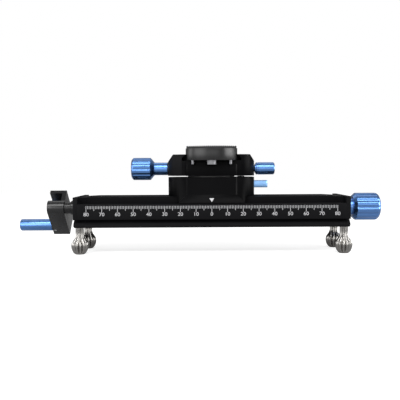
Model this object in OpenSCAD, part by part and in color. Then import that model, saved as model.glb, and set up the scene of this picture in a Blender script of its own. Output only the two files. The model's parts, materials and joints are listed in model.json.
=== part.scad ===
// Macro focusing rail: a lead screw moves a carriage with a panning plate clamp along a graduated rail.
// X runs along the rail towards the drive knob, Y runs from the graduated face to the back, Z is up.
// The origin is the mouth of the middle tripod socket, in the rail's underside.

/* [Rail] */
// Length of the rail over both end blocks
rail_length = 177; // [160:1:260]
// Width of the rail's body
rail_width = 40; // [38:0.5:50]
// Height of the ledges beside the guide
ledge_height = 15.2; // [14.4:0.1:18]
// Height of the dovetail guide above the ledges
guide_height = 4.4; // [3:0.1:6]
// Width over the top of the dovetail guide
guide_width = 26; // [25:0.5:30]
// How far each guide flank leans in
guide_undercut = 1.6; // [0.8:0.1:2]
// Width of the channel that the lead screw lies in
channel_width = 16; // [15:0.5:18]
// Thickness of the rail under the channel
floor_thickness = 5.4; // [4:0.1:5.5]
// Width of the dovetail foot that fits a tripod clamp
foot_width = 38; // [38:0.5:40]
// Length of each end block
end_block_length = 7; // [6:0.5:12]

/* [Tripod sockets] */
// Radius of the large middle socket
large_socket_r = 4.76; // [3:0.01:5]
// Radius of the small sockets
small_socket_r = 3.18; // [2:0.01:4]
// Distance from the middle to each small socket
small_socket_offset = 20; // [12:1:40]

/* [Screw-in feet] */
// Height of a foot
foot_height = 17.4; // [16:0.1:26]
// Radius of a foot's bulb
foot_bulb_r = 5.5; // [4.5:0.1:6]
// Radius of a foot's stem
foot_stem_r = 2.7; // [2:0.1:3]
// Distance from the rail's middle plane to a foot
foot_offset_y = 14; // [13:0.5:15]

/* [Lead screw] */
// Height of the lead screw's axis
screw_height = 11.8; // [11.4:0.1:12.4]
// Radius over the screw's thread
screw_r = 4; // [3:0.1:4]
// Radius of the screw's journals
journal_r = 2.5; // [2:0.1:2.8]
// Length of each of the two nuts
nut_length = 15; // [10:0.5:16]

/* [Drive knob] */
// Radius of the drive knob
drive_knob_r = 9.1; // [7:0.1:12]
// Length of the drive knob
drive_knob_length = 18; // [14:0.1:24]
// Number of flutes round a knob
flute_count = 12; // [8:1:16]

/* [Crank] */
// Thickness of the crank
crank_thickness = 11.1; // [9:0.1:14]
// Distance from the screw's axis to the grip's axis
crank_throw = 18.6; // [17:0.1:21]
// How far the crank hangs below level, in degrees
crank_angle = 43; // [20:1:60]
// Radius of the crank's hub
crank_hub_r = 4.9; // [4.8:0.1:6]
// Radius of the grip
grip_r = 4.05; // [3:0.05:4.5]
// Length of the grip
grip_length = 22.5; // [18:0.1:34]

/* [Carriage] */
// How far the carriage and the clamp reach past the guide, in front and behind
skirt_depth = 3.6; // [3.2:0.1:5]
// Radius of the upright corners
block_corner_r = 11.5; // [6:0.1:12]
// Height of the carriage's top face
carriage_top = 32; // [31.8:0.1:36]
// Width of the front panel
panel_width = 32.8; // [28:0.1:33]
// How far the front panel stands forward
panel_relief = 1; // [0.6:0.1:1.4]

/* [Plate clamp] */
// Height of the seat under the plate, above the clamp's underside
clamp_seat = 9.9; // [9.5:0.1:12]
// Height of the jaws above the seat
jaw_height = 3.9; // [3.5:0.1:5]
// How far the moving jaw opens
jaw_travel = 4; // [3:0.1:4.5]
// Gap between the moving jaw and the clamp's body
jaw_gap = 2.6; // [1.8:0.1:3]
// Width of the moving jaw, at the far side of which the carriage and the clamp end
jaw_width = 9.2; // [8.2:0.1:13]

/* [Clamp knob] */
// Radius of the clamp knob
clamp_knob_r = 7.45; // [6:0.05:9]
// Length of the clamp knob's head
clamp_knob_length = 13.8; // [10:0.1:18]
// Length of the clamp knob's neck
clamp_neck_length = 10.2; // [6:0.1:14]

/* [Plate] */
// Length of the plate from front to back
plate_length = 50; // [44:1:70]
// Width over the plate's dovetail
plate_width = 38; // [38:0.5:39]
// Thickness of the plate without its pad
plate_thickness = 7.6; // [6.8:0.1:9]
// Thickness of the rubber pad
pad_thickness = 1.5; // [0.8:0.1:2]
// Number of ribs on the pad, which run from front to back
pad_rib_count = 24; // [6:1:30]

/* [Hidden] */
$fn = 64;

// Fits
over = 1;
seat_gap = 0.02;
run_gap = 0.05;
slide_gap = 0.06;
clear_gap = 0.3;

// Colours
black = "#1c1c1e";
blue = "#3d6cb4";
steel = "#b9bcc0";
dark_steel = "#55585c";
brass = "#b8964a";
rubber = "#161617";
nylon = "#dcdad2";

// Rail section
rail_half = rail_width / 2;
foot_half = foot_width / 2;
foot_edge = 2;
foot_rise = 3.1;
foot_top = foot_edge + foot_rise;
deck_height = ledge_height + guide_height;
guide_half = guide_width / 2;
neck_half = guide_half - guide_undercut;
channel_half = channel_width / 2;
rail_end = rail_length / 2;
body_end = rail_end - end_block_length;
edge_bevel = 0.4;
ramp_length = 12;
ramp_drop = 0.6;
toe_height = 1;
toe_length = 0.6;
cap_length = 2.8;
cap_inset = 0.35;

// Fasteners of the end blocks
end_screw_r = 1.5;
end_screw_head_r = 2.5;
end_screw_head = 2.2;
end_screw_depth = 9;
end_screw_height = ledge_height - end_screw_head_r - 0.4 * end_screw_r;
end_screw_rows = [rail_half - 1.4 * end_screw_head_r, channel_half + end_screw_head_r];

// Feet
foot_inset_share = 0.43;
foot_x = rail_end - foot_inset_share * end_block_length;
foot_stud_r = 1.5;
foot_stud_length = 5.8;
foot_flute_r = 0.8;
foot_waist_share = 0.66;
foot_bulb_shares = [[0.55, 0], [0.72, 0.05], [0.86, 0.12], [0.96, 0.21], [1, 0.31], [0.97, 0.39],
    [0.84, 0.46], [0.68, 0.53], [0.57, 0.59]];

// Lead screw and its bearings
bushing_r = 5;
bushing_flange_r = 5.5;
bushing_flange = 1.1;
thread_end = body_end - bushing_flange - clear_gap;
washer_thickness = 0.6;
washer_r = bushing_r;
hub_start = rail_end + washer_thickness + 4 * seat_gap;
nut_side_gap = 1;
nut_half_width = channel_half - nut_side_gap;
nut_gap = 16;
nut_foot = floor_thickness + clear_gap;
backlash_spring_r = 5;
nut_screw_r = 0.9;
nut_screw_head_r = 1.4;
nut_screw_head = 1.2;
nut_screw_y = nut_half_width - nut_screw_head_r - seat_gap;
nut_screw_bite = 4.3;

// Drive knob
knob_boss_r = 5.5;
knob_boss_length = 4.9;
knob_start = hub_start + knob_boss_length;
knob_end = knob_start + drive_knob_length;
knob_bevel = 2;
knob_dome = 2.4;
knob_flute_r = 1.9;
knob_journal_length = 14;
grub_r = 1.25;

// Crank
collar_r = 4.8;
collar_neck_r = 3.9;
collar_length = 8.8;
crank_inner = -hub_start - collar_length;
crank_outer = crank_inner - crank_thickness;
crank_web = 2.6;
crank_slot = 5;
crank_cheek = 2.5;
crank_reach = crank_throw + crank_hub_r - 0.1 * crank_hub_r;
crank_slot_end = crank_throw - crank_hub_r - 0.1 * crank_hub_r;
crank_top = crank_hub_r + crank_slot + crank_cheek;
crank_nose = 3.4;
crank_end_wall = 4.5;
crank_journal_length = crank_thickness - crank_end_wall;
crank_screw_r = 1.5;
crank_screw_head_r = 3;
crank_screw_head = 2;
spindle_rod_r = 2;
spindle_rod_seat = 8.5;
grip_gap = 0.4;
grip_wall = 0.9;
grip_round = 1;
pin_r = 0.9;
pin_inset = 1.7;

// Carriage
panel_half = panel_width / 2;
block_half_w = panel_half + jaw_gap + jaw_width;
block_width = 2 * block_half_w;
block_half_d = guide_half + skirt_depth;
panel_front = -block_half_d - panel_relief;
panel_bevel = 1;
skirt_half = 22;
under_height = ledge_height + clear_gap;
ceiling_height = deck_height + 0.5 * clear_gap;
apron_top = 20.8;
apron_spread = 4.9;
gib_share = 1 / 3;
gib_thickness = gib_share * skirt_depth;
gib_end_gap = 0.5;
gib_half = skirt_half - gib_end_gap;
gib_screw_r = 1.5;
gib_screw_spacing = 14;
gib_screw_height = ledge_height + guide_height / 2;
nut_screw_top = ceiling_height + nut_screw_bite;

// Panning spindle
pan_gap = 0.9;
spindle_r = 6;
spindle_seat = 8;
pan_washer_r = 15.5;
clamp_bottom = carriage_top + pan_gap;
seat_height = clamp_bottom + clamp_seat;
spindle_sink = 2.6;
spindle_top = seat_height - spindle_sink;
spindle_washer_r = 8;
spindle_washer = 1;
spindle_screw_r = 2;
spindle_screw_head_r = 4;
spindle_screw_head = 1.3;
spindle_screw_floor = 2.4;
spindle_screw_foot = ceiling_height + spindle_screw_floor;

// Carriage lock
lock_x = 20.6;
lock_inset = 0.1;
lock_y = (channel_half + guide_half) / 2 - lock_inset;
lock_screw_r = 2.4;
lock_pad_r = 2.2;
lock_pad_thickness = 1.4;
lock_pad_foot = deck_height + run_gap;
lock_cap = 0.45;
lever_bottom = 24.6;
lever_thickness = 4.8;
lever_hub_r = 4.2;
lever_half = 3.4;
lever_tip_r = 1;
lever_tip_x = 38.6;
lever_gap = 0.3;

// Clamp and jaw
jaw_top = seat_height + jaw_height;
clamp_axis_drop = 5.3;
clamp_axis = seat_height - clamp_axis_drop;
clamp_side = -panel_half;
jaw_side = clamp_side - jaw_gap;
panel_drop = 2.5;
panel_top = seat_height - panel_drop;
jaw_bevel_w = 3.4;
jaw_bevel_h = 4.5;
tongue_thickness = 2.6;
tongue_wall = 2;
tongue_bite = 1.5;
tongue_inner = block_half_d - tongue_wall - tongue_thickness;
tongue_low = clamp_bottom + run_gap;
tongue_high = seat_height - run_gap;
tongue_end = clamp_side + jaw_travel + tongue_bite;
tongue_pin_gap = 1.5;
guide_pin_r = 1.5;
guide_pin_y = tongue_inner - tongue_pin_gap - guide_pin_r;
guide_pin_seat = 9;
guide_pin_inner = clamp_side + guide_pin_seat;
guide_pin_bite = 2.5;
guide_pin_outer = jaw_side - jaw_travel - guide_pin_bite;
clamp_screw_r = 3;
clamp_screw_tip_gap = 3.5;
clamp_screw_tip = -spindle_r - clamp_screw_tip_gap;
clamp_washer_r = 4.6;
clamp_washer_t = 0.6;
clamp_neck_r = 4.2;
clamp_neck_start = -block_half_w - clamp_washer_t - 2 * seat_gap;
clamp_head_start = clamp_neck_start - clamp_neck_length;
clamp_knob_end = clamp_head_start - clamp_knob_length;
clamp_knob_bevel = 1.4;
clamp_flute_r = 1.5;
clamp_ring_r = 4.4;
clamp_ring = 0.8;

// Panning lock
pan_lock_r = 2;
pan_lock_shoe_length = 2.3;
pan_lock_shoe_start = spindle_r + run_gap;
pan_lock_screw_start = pan_lock_shoe_start + pan_lock_shoe_length + seat_gap;
pan_lock_knob_r = 4.1;
pan_lock_knob_gap = 0.8;
pan_lock_knob_start = block_half_w + pan_lock_knob_gap;
pan_lock_knob_length = 13.2;
pan_lock_neck = 0.7;
pan_lock_neck_r = 3;
pan_lock_round = 1;

// Plate
plate_bottom = seat_height + 2 * run_gap;
plate_half = plate_width / 2;
plate_edge = 1.3;
plate_flank = 2.5;
plate_body_half = plate_half - plate_flank;
plate_top = plate_bottom + plate_thickness;
pad_inset = 0.5;
pad_groove_share = 0.45;
pad_rib_height = 0.5;
pad_half = plate_body_half - pad_inset;
pad_rib_pitch = 2 * pad_half / pad_rib_count;
pad_top = plate_top + pad_thickness;
plate_end = plate_length / 2;
stop_pin_r = 0.9;
stop_pin_x = 12;
stop_pin_drop = 2.5;
stop_pin_depth = 3;
stop_pin_y = panel_front - stop_pin_r - 2 * clear_gap;
stop_screw_r = 2.8;
stop_screw_drop = 2.7;
stop_screw_shank_r = 1.5;
stop_screw_y = panel_front - stop_screw_r - 2 * clear_gap;
camera_screw_r = 3.17;
camera_head_r = 6;
camera_head = 1.6;
camera_slot_half = 9;
camera_slot_r = camera_screw_r + clear_gap;
camera_pocket_r = camera_head_r + clear_gap;
camera_web = 1.6;

// Half width of the guide's flank at a height
function flank_at(z) = neck_half + (z - ledge_height) * guide_undercut / guide_height;

// A round bar along X from x0 to x1
module bar_x(x0, x1, r) {
    translate([x0, 0, 0])
        rotate([0, 90, 0])
            cylinder(h = x1 - x0, r = r);
}

// A round bar along Y from y0 to y1
module bar_y(y0, y1, r) {
    translate([0, y1, 0])
        rotate([90, 0, 0])
            cylinder(h = y1 - y0, r = r);
}

// A box between two corners
module box(low, high) {
    translate(low)
        cube(high - low);
}

// A flat outline drawn in Y and Z, run along X from x0 to x1
module run_x(x0, x1) {
    translate([x0, 0, 0])
        rotate([90, 0, 90])
            linear_extrude(height = x1 - x0)
                children();
}

// A flat outline drawn in X and Z, run along Y from y0 to y1
module run_y(y0, y1) {
    translate([0, y1, 0])
        rotate([90, 0, 0])
            linear_extrude(height = y1 - y0)
                children();
}

// A half outline of radius and height, turned about X from x0 towards +X
module turned_x(x0) {
    translate([x0, 0, 0])
        rotate([0, 90, 0])
            rotate_extrude()
                children();
}

// Grooves spread round the X axis
module flutes_x(x0, x1, at_r, r, count) {
    for (i = [0 : count - 1])
        rotate([i * 360 / count, 0, 0])
            translate([0, 0, at_r])
                bar_x(x0, x1, r);
}

// Section of the rail without its channel
module rail_section() {
    right = [
        [foot_half - edge_bevel, 0],
        [foot_half, edge_bevel],
        [foot_half, foot_edge],
        [foot_half - foot_rise, foot_top],
        [rail_half - edge_bevel, foot_top],
        [rail_half, foot_top + edge_bevel],
        [rail_half, ledge_height - edge_bevel],
        [rail_half - edge_bevel, ledge_height],
        [neck_half, ledge_height],
        [guide_half, deck_height]
    ];
    left = [for (i = [len(right) - 1 : -1 : 0]) [-right[i][0], right[i][1]]];
    polygon(concat(right, left));
}

// Section of the cap that closes the rail's end over its whole width, as high as the guide
module cap_section() {
    right = [
        [rail_half - edge_bevel, foot_top],
        [rail_half, foot_top + edge_bevel],
        [rail_half, deck_height - edge_bevel],
        [rail_half - edge_bevel, deck_height]
    ];
    left = [for (i = [len(right) - 1 : -1 : 0]) [-right[i][0], right[i][1]]];
    polygon(concat(right, left));
}

// The slope that takes the guide down at the rail's right end
module ramp_cut() {
    run_y(-rail_half, rail_half)
        polygon([
            [rail_end - ramp_length, deck_height],
            [rail_end + over, deck_height - ramp_drop * (ramp_length + over) / ramp_length],
            [rail_end + over, deck_height + over],
            [rail_end - ramp_length, deck_height + over]
        ]);
}

module rail_body() color(black)
    difference() {
        run_x(-body_end, body_end)
            rail_section();
        box([-rail_length, -channel_half, floor_thickness],
            [rail_length, channel_half, deck_height + over]);
        ramp_cut();
        mirror([1, 0, 0])
            ramp_cut();
        translate([0, 0, -over])
            cylinder(h = floor_thickness + 2 * over, r = large_socket_r);
        for (side = [-1, 1])
            translate([side * small_socket_offset, 0, -over])
                cylinder(h = floor_thickness + 2 * over, r = small_socket_r);
        for (side = [-1, 1])
            end_screws(side, end_screw_r + seat_gap, end_screw_head_r + seat_gap);
    }

// The four screws of one end block, with their heads sunk in its outer face
module end_screws(side, r, head_r) {
    for (y = [-end_screw_rows[0], -end_screw_rows[1], end_screw_rows[1], end_screw_rows[0]])
        mirror([side < 0 ? 1 : 0, 0, 0])
            translate([0, y, end_screw_height]) {
                bar_x(body_end - end_screw_depth, rail_end - end_screw_head + seat_gap, r);
                bar_x(rail_end - end_screw_head, rail_end - seat_gap, head_r);
            }
}

// One end block, on the right
module end_block() {
    difference() {
        union() {
            difference() {
                run_x(body_end, rail_end)
                    rail_section();
                ramp_cut();
            }
            run_x(rail_end - cap_length, rail_end)
                cap_section();
        }
        run_y(-rail_half - over, rail_half + over)
            polygon([
                [rail_end, toe_height],
                [rail_end + over, toe_height],
                [rail_end + over, -over],
                [rail_end - toe_length, -over],
                [rail_end - toe_length, 0]
            ]);
        for (side = [-1, 1])
            box([rail_end - cap_length, side * rail_half - cap_inset, foot_top - over],
                [rail_end + over, side * rail_half + cap_inset, deck_height + over]);
        translate([0, 0, screw_height])
            bar_x(body_end - over, rail_end + over, bushing_r + seat_gap);
        for (side = [-1, 1])
            translate([foot_x, side * foot_offset_y, -over])
                cylinder(h = foot_stud_length + over + clear_gap, r = foot_stud_r + seat_gap);
        end_screws(1, end_screw_r + seat_gap, end_screw_head_r + seat_gap);
        for (y = [-end_screw_rows[0], -end_screw_rows[1], end_screw_rows[1], end_screw_rows[0]])
            translate([0, y, end_screw_height])
                bar_x(rail_end - end_screw_head, rail_end + over, end_screw_head_r + seat_gap);
    }
}

module end_block_left() color(black)
    mirror([1, 0, 0])
        end_block();

module end_block_right() color(black)
    end_block();

module end_block_screws() color(dark_steel)
    for (side = [-1, 1])
        difference() {
            end_screws(side, end_screw_r, end_screw_head_r);
            for (y = [-end_screw_rows[0], -end_screw_rows[1], end_screw_rows[1], end_screw_rows[0]])
                mirror([side < 0 ? 1 : 0, 0, 0])
                    translate([rail_end - end_screw_head / 2, y, end_screw_height])
                        rotate([0, 90, 0])
                            cylinder(h = end_screw_head, r = end_screw_head_r / 2, $fn = 6);
        }

// One flanged bushing, on the right
module bushing() {
    translate([0, 0, screw_height])
        difference() {
            union() {
                bar_x(body_end - seat_gap, rail_end - seat_gap, bushing_r);
                bar_x(body_end - bushing_flange, body_end - seat_gap, bushing_flange_r);
            }
            bar_x(body_end - 2 * over - bushing_flange, rail_end + over, journal_r + run_gap);
        }
}

module bushing_left() color(brass)
    mirror([1, 0, 0])
        bushing();

module bushing_right() color(brass)
    bushing();

// A polished screw-in foot with its stud
module foot(x, y) color(steel)
    translate([x, y, -foot_height])
        difference() {
            union() {
                rotate_extrude()
                    polygon(concat(
                        [[0, 0]],
                        [for (p = foot_bulb_shares) [p[0] * foot_bulb_r, p[1] * foot_height]],
                        [[foot_stem_r, foot_waist_share * foot_height],
                         [foot_stem_r, foot_height - seat_gap],
                         [0, foot_height - seat_gap]]));
                cylinder(h = foot_height + foot_stud_length, r = foot_stud_r);
            }
            for (i = [0 : flute_count - 1])
                rotate([0, 0, i * 360 / flute_count])
                    translate([foot_bulb_r + 0.3 * foot_flute_r, 0, -over])
                        cylinder(h = foot_height * foot_waist_share + over, r = foot_flute_r);
        }

module foot_front_left() foot(-foot_x, -foot_offset_y);

module foot_front_right() foot(foot_x, -foot_offset_y);

module foot_rear_left() foot(-foot_x, foot_offset_y);

module foot_rear_right() foot(foot_x, foot_offset_y);

module lead_screw() color(steel)
    translate([0, 0, screw_height])
        difference() {
            union() {
                bar_x(-thread_end, thread_end, screw_r);
                bar_x(crank_inner - crank_journal_length, knob_start + knob_journal_length,
                    journal_r);
            }
            bar_x(crank_inner - crank_journal_length - over, crank_inner, crank_screw_r + seat_gap);
        }

module thrust_washers() color(nylon)
    translate([0, 0, screw_height])
        for (side = [-1, 1])
            mirror([side < 0 ? 1 : 0, 0, 0])
                difference() {
                    bar_x(rail_end + seat_gap, rail_end + seat_gap + washer_thickness, washer_r);
                    bar_x(rail_end - over, rail_end + 2 * over, journal_r + seat_gap);
                }

module drive_knob() color(blue)
    translate([0, 0, screw_height])
        difference() {
            turned_x(hub_start)
                polygon([
                    [0, 0],
                    [knob_boss_r, 0],
                    [knob_boss_r, knob_boss_length],
                    [drive_knob_r - knob_bevel, knob_boss_length],
                    [drive_knob_r, knob_boss_length + knob_bevel],
                    [drive_knob_r, knob_end - hub_start - knob_dome],
                    [drive_knob_r - 0.25 * knob_dome, knob_end - hub_start - 0.5 * knob_dome],
                    [drive_knob_r - 0.8 * knob_dome, knob_end - hub_start - 0.1 * knob_dome],
                    [drive_knob_r - 1.3 * knob_dome, knob_end - hub_start],
                    [0, knob_end - hub_start]
                ]);
            flutes_x(knob_start - over, knob_end - 0.75 * knob_dome,
                drive_knob_r + 0.8 * knob_flute_r, knob_flute_r, flute_count);
            bar_x(hub_start - over, knob_start + knob_journal_length + seat_gap,
                journal_r + seat_gap);
            translate([hub_start + knob_boss_length / 2, 0, 0])
                cylinder(h = knob_boss_r + over, r = grub_r + seat_gap);
        }

module drive_knob_screw() color(dark_steel)
    translate([hub_start + knob_boss_length / 2, 0, screw_height + journal_r + seat_gap])
        cylinder(h = knob_boss_r - journal_r - 2 * seat_gap, r = grub_r);

module crank_collar() color(black)
    translate([0, 0, screw_height])
        difference() {
            union() {
                bar_x(crank_inner + seat_gap, -hub_start - collar_length / 4, collar_neck_r);
                bar_x(-hub_start - collar_length / 2, -hub_start, collar_r);
            }
            bar_x(crank_inner - over, -hub_start + over, journal_r + seat_gap);
        }

// Places its children in the crank's own plane: first axis along the arm, second across it
module along_crank() {
    translate([0, 0, screw_height])
        rotate([-crank_angle, 0, 0])
            children();
}

module crank_arm() color(black)
    difference() {
        along_crank()
            difference() {
                union() {
                    run_x(crank_outer, crank_inner)
                        union() {
                            circle(r = crank_hub_r);
                            translate([0, -crank_hub_r])
                                square([crank_reach, 2 * crank_hub_r]);
                            polygon([
                                [crank_slot_end, crank_hub_r - over],
                                [crank_reach, crank_hub_r - over],
                                [crank_reach, crank_top - crank_cheek],
                                [crank_reach - crank_cheek, crank_top],
                                [-crank_nose, crank_top],
                                [-crank_nose, crank_top - crank_cheek],
                                [crank_slot_end, crank_top - crank_cheek]
                            ]);
                        }
                    run_x(crank_inner - crank_web, crank_inner)
                        translate([-crank_nose, 0])
                            square([crank_reach, crank_top - crank_cheek / 2]);
                }
                translate([0, crank_throw, 0])
                    bar_x(crank_outer - over, crank_outer + spindle_rod_seat + seat_gap,
                        spindle_rod_r + seat_gap);
                pin_shape(pin_r + seat_gap, over);
            }
        translate([0, 0, screw_height]) {
            bar_x(crank_inner - crank_journal_length - seat_gap, crank_inner + over,
                journal_r + seat_gap);
            bar_x(crank_outer - over, crank_inner - over, crank_screw_r + seat_gap);
            bar_x(crank_outer - over, crank_outer + crank_screw_head + 0.3 * crank_screw_head,
                crank_screw_head_r + seat_gap);
        }
    }

// The cross pin that holds the grip's spindle, in the crank's own plane
module pin_shape(r, more) {
    translate([crank_outer + pin_inset, crank_throw, -crank_hub_r - more])
        cylinder(h = crank_hub_r + spindle_rod_r + more, r = r);
}

module crank_screw() color(steel)
    translate([0, 0, screw_height])
        difference() {
            union() {
                bar_x(crank_outer + 0.3 * crank_screw_head, crank_outer + 1.3 * crank_screw_head,
                    crank_screw_head_r);
                bar_x(crank_outer + crank_screw_head, crank_inner - clear_gap, crank_screw_r);
            }
            translate([crank_outer, 0, 0])
                rotate([0, 90, 0])
                    cylinder(h = 0.8 * crank_screw_head, r = crank_screw_head_r / 2, $fn = 6);
        }

module grip_spindle() color(steel)
    along_crank()
        difference() {
            translate([0, crank_throw, 0])
                bar_x(crank_outer - grip_gap - grip_length + grip_wall + clear_gap,
                    crank_outer + spindle_rod_seat, spindle_rod_r);
            pin_shape(pin_r + seat_gap, over);
        }

module grip_pin() color(steel)
    along_crank()
        pin_shape(pin_r, 0);

module crank_grip() color(blue)
    along_crank()
        translate([0, crank_throw, 0])
            difference() {
                turned_x(crank_outer - grip_gap - grip_length)
                    polygon([
                        [0, 0],
                        [grip_r - grip_round, 0],
                        [grip_r - 0.3 * grip_round, 0.3 * grip_round],
                        [grip_r, grip_round],
                        [grip_r, grip_length],
                        [0, grip_length]
                    ]);
                bar_x(crank_outer - grip_gap - grip_length + grip_wall, crank_outer + over,
                    spindle_rod_r + run_gap);
            }

// Plan of the carriage and the clamp without the front panel
module block_plan() {
    straight_w = block_half_w - block_corner_r;
    straight_d = block_half_d - block_corner_r;
    union() {
        translate([-straight_w, -block_half_d])
            square([2 * straight_w, 2 * block_half_d]);
        translate([-block_half_w, -straight_d])
            square([block_width, 2 * straight_d]);
        for (x = [-straight_w, straight_w], y = [-straight_d, straight_d])
            translate([x, y])
                circle(r = block_corner_r);
    }
}

// Plan of the front panel with its bevelled upright edges
module panel_plan() {
    polygon([
        [-panel_half, 0],
        [-panel_half, panel_front + panel_bevel],
        [-panel_half + panel_bevel, panel_front],
        [panel_half - panel_bevel, panel_front],
        [panel_half, panel_front + panel_bevel],
        [panel_half, 0]
    ]);
}

// The mitred apron that carries the pointer
module apron() {
    intersection() {
        run_x(-block_half_w, block_half_w)
            polygon([
                [panel_front, apron_top],
                [-rail_half, under_height],
                [-guide_half - over, under_height],
                [-guide_half - over, apron_top]
            ]);
        run_y(-rail_width, 0)
            polygon([
                [-panel_half, apron_top],
                [panel_half, apron_top],
                [panel_half + apron_spread, under_height],
                [-panel_half - apron_spread, under_height]
            ]);
    }
}

// Section of the room that the guide and the gib strip need
module guide_room() {
    run_x(-rail_length, rail_length)
        polygon([
            [-flank_at(ledge_height) - slide_gap, ledge_height],
            [-flank_at(ceiling_height) - slide_gap, ceiling_height],
            [flank_at(ceiling_height) + gib_thickness + 2 * slide_gap, ceiling_height],
            [flank_at(ledge_height) + gib_thickness + 2 * slide_gap, ledge_height]
        ]);
}

module carriage() color(black)
    difference() {
        union() {
            translate([0, 0, under_height])
                linear_extrude(height = carriage_top - under_height)
                    block_plan();
            translate([0, 0, under_height])
                linear_extrude(height = carriage_top - under_height)
                    panel_plan();
            apron();
        }
        guide_room();
        for (flip = [0, 1])
            mirror([flip, 0, 0])
                box([skirt_half, -rail_half, ledge_height],
                    [block_half_w + over, rail_half, ceiling_height]);
        translate([0, 0, carriage_top - spindle_seat])
            cylinder(h = spindle_seat + over, r = spindle_r + seat_gap);
        translate([0, 0, spindle_screw_foot])
            cylinder(h = spindle_seat, r = spindle_screw_r + seat_gap);
        for (x = [-1, 0, 1])
            translate([x * gib_screw_spacing, 0, gib_screw_height])
                bar_y(guide_half, block_half_d + over, gib_screw_r + seat_gap);
        nut_screw_shape(nut_screw_r + seat_gap);
        translate([lock_x, lock_y, ceiling_height - over])
            cylinder(h = carriage_top - ceiling_height + 2 * over, r = lock_screw_r + run_gap);
        box([lock_x - lever_hub_r - lever_gap, lock_y - lever_hub_r - lever_gap,
             lever_bottom - lever_gap],
            [block_half_w + over, block_half_d + over, lever_bottom + lever_thickness + lever_gap]);
    }

// The four screws that hang the two nuts under the carriage
module nut_screw_shape(r) {
    for (x = [-1, 1], y = [-nut_screw_y, nut_screw_y])
        translate([x * (nut_gap + nut_length) / 2, y, nut_foot + seat_gap])
            cylinder(h = nut_screw_top - nut_foot - seat_gap, r = r);
}

// One nut, on the right
module nut() {
    difference() {
        box([nut_gap / 2, -nut_half_width, nut_foot],
            [nut_gap / 2 + nut_length, nut_half_width, ceiling_height - seat_gap]);
        translate([0, 0, screw_height])
            bar_x(0, rail_length, screw_r + run_gap);
        nut_screw_shape(nut_screw_r + seat_gap);
        for (y = [-nut_screw_y, nut_screw_y])
            translate([(nut_gap + nut_length) / 2, y, nut_foot - over])
                cylinder(h = nut_screw_head + over + seat_gap, r = nut_screw_head_r + seat_gap);
    }
}

module drive_nut() color(brass)
    nut();

module backlash_nut() color(brass)
    mirror([1, 0, 0])
        nut();

module backlash_spring() color(steel)
    translate([0, 0, screw_height])
        difference() {
            bar_x(-nut_gap / 2 + seat_gap, nut_gap / 2 - seat_gap, backlash_spring_r);
            bar_x(-nut_gap, nut_gap, screw_r + clear_gap);
        }

module nut_screws() color(dark_steel)
    union() {
        nut_screw_shape(nut_screw_r);
        for (x = [-1, 1], y = [-nut_screw_y, nut_screw_y])
            translate([x * (nut_gap + nut_length) / 2, y, nut_foot + seat_gap])
                cylinder(h = nut_screw_head, r = nut_screw_head_r);
    }

module gib_strip() color(brass)
    run_x(-gib_half, gib_half)
        polygon([
            [flank_at(under_height) + slide_gap, under_height],
            [flank_at(deck_height) + slide_gap, deck_height],
            [flank_at(deck_height) + slide_gap + gib_thickness, deck_height],
            [flank_at(under_height) + slide_gap + gib_thickness, under_height]
        ]);

module gib_screws() color(dark_steel)
    for (x = [-1, 0, 1])
        translate([x * gib_screw_spacing, 0, gib_screw_height])
            difference() {
                bar_y(flank_at(gib_screw_height + gib_screw_r) + slide_gap + gib_thickness + seat_gap,
                    block_half_d - seat_gap, gib_screw_r);
                bar_y(block_half_d - gib_screw_r, block_half_d + over, gib_screw_r / 2);
            }

module pan_spindle() color(steel)
    translate([0, 0, carriage_top - spindle_seat + seat_gap])
        difference() {
            cylinder(h = spindle_top - carriage_top + spindle_seat - seat_gap, r = spindle_r);
            translate([0, 0, -over])
                cylinder(h = 2 * spindle_top, r = spindle_screw_r + seat_gap);
        }

module pan_washer() color(nylon)
    translate([0, 0, carriage_top + seat_gap])
        difference() {
            cylinder(h = pan_gap - 2 * seat_gap, r = pan_washer_r);
            translate([0, 0, -over])
                cylinder(h = pan_gap + 2 * over, r = spindle_r + run_gap);
        }

module spindle_washer() color(steel)
    translate([0, 0, spindle_top + seat_gap])
        difference() {
            cylinder(h = spindle_washer, r = spindle_washer_r);
            translate([0, 0, -over])
                cylinder(h = spindle_washer + 2 * over, r = spindle_screw_r + seat_gap);
        }

module spindle_screw() color(dark_steel)
    difference() {
        union() {
            translate([0, 0, spindle_screw_foot + seat_gap])
                cylinder(h = spindle_top - spindle_screw_foot + spindle_washer + over,
                    r = spindle_screw_r);
            translate([0, 0, spindle_top + spindle_washer + 2 * seat_gap])
                cylinder(h = spindle_screw_head, r = spindle_screw_head_r);
        }
        translate([0, 0, spindle_top + spindle_washer + 0.3 * spindle_screw_head])
            cylinder(h = spindle_screw_head, r = spindle_screw_r * 0.7, $fn = 6);
    }

module lock_lever() color(blue)
    translate([0, 0, lever_bottom])
        difference() {
            union() {
                translate([lock_x, lock_y, 0])
                    cylinder(h = lever_thickness, r = lever_hub_r);
                linear_extrude(height = lever_thickness)
                    union() {
                        translate([lock_x, lock_y - lever_half])
                            square([lever_tip_x - lock_x - lever_tip_r, 2 * lever_half]);
                        translate([lock_x, lock_y - lever_half + lever_tip_r])
                            square([lever_tip_x - lock_x, 2 * (lever_half - lever_tip_r)]);
                        for (side = [-1, 1])
                            translate([lever_tip_x - lever_tip_r,
                                       lock_y + side * (lever_half - lever_tip_r)])
                                circle(r = lever_tip_r);
                    }
            }
            translate([lock_x, lock_y, -over])
                cylinder(h = lever_thickness + 2 * over, r = lock_screw_r + seat_gap);
        }

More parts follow.
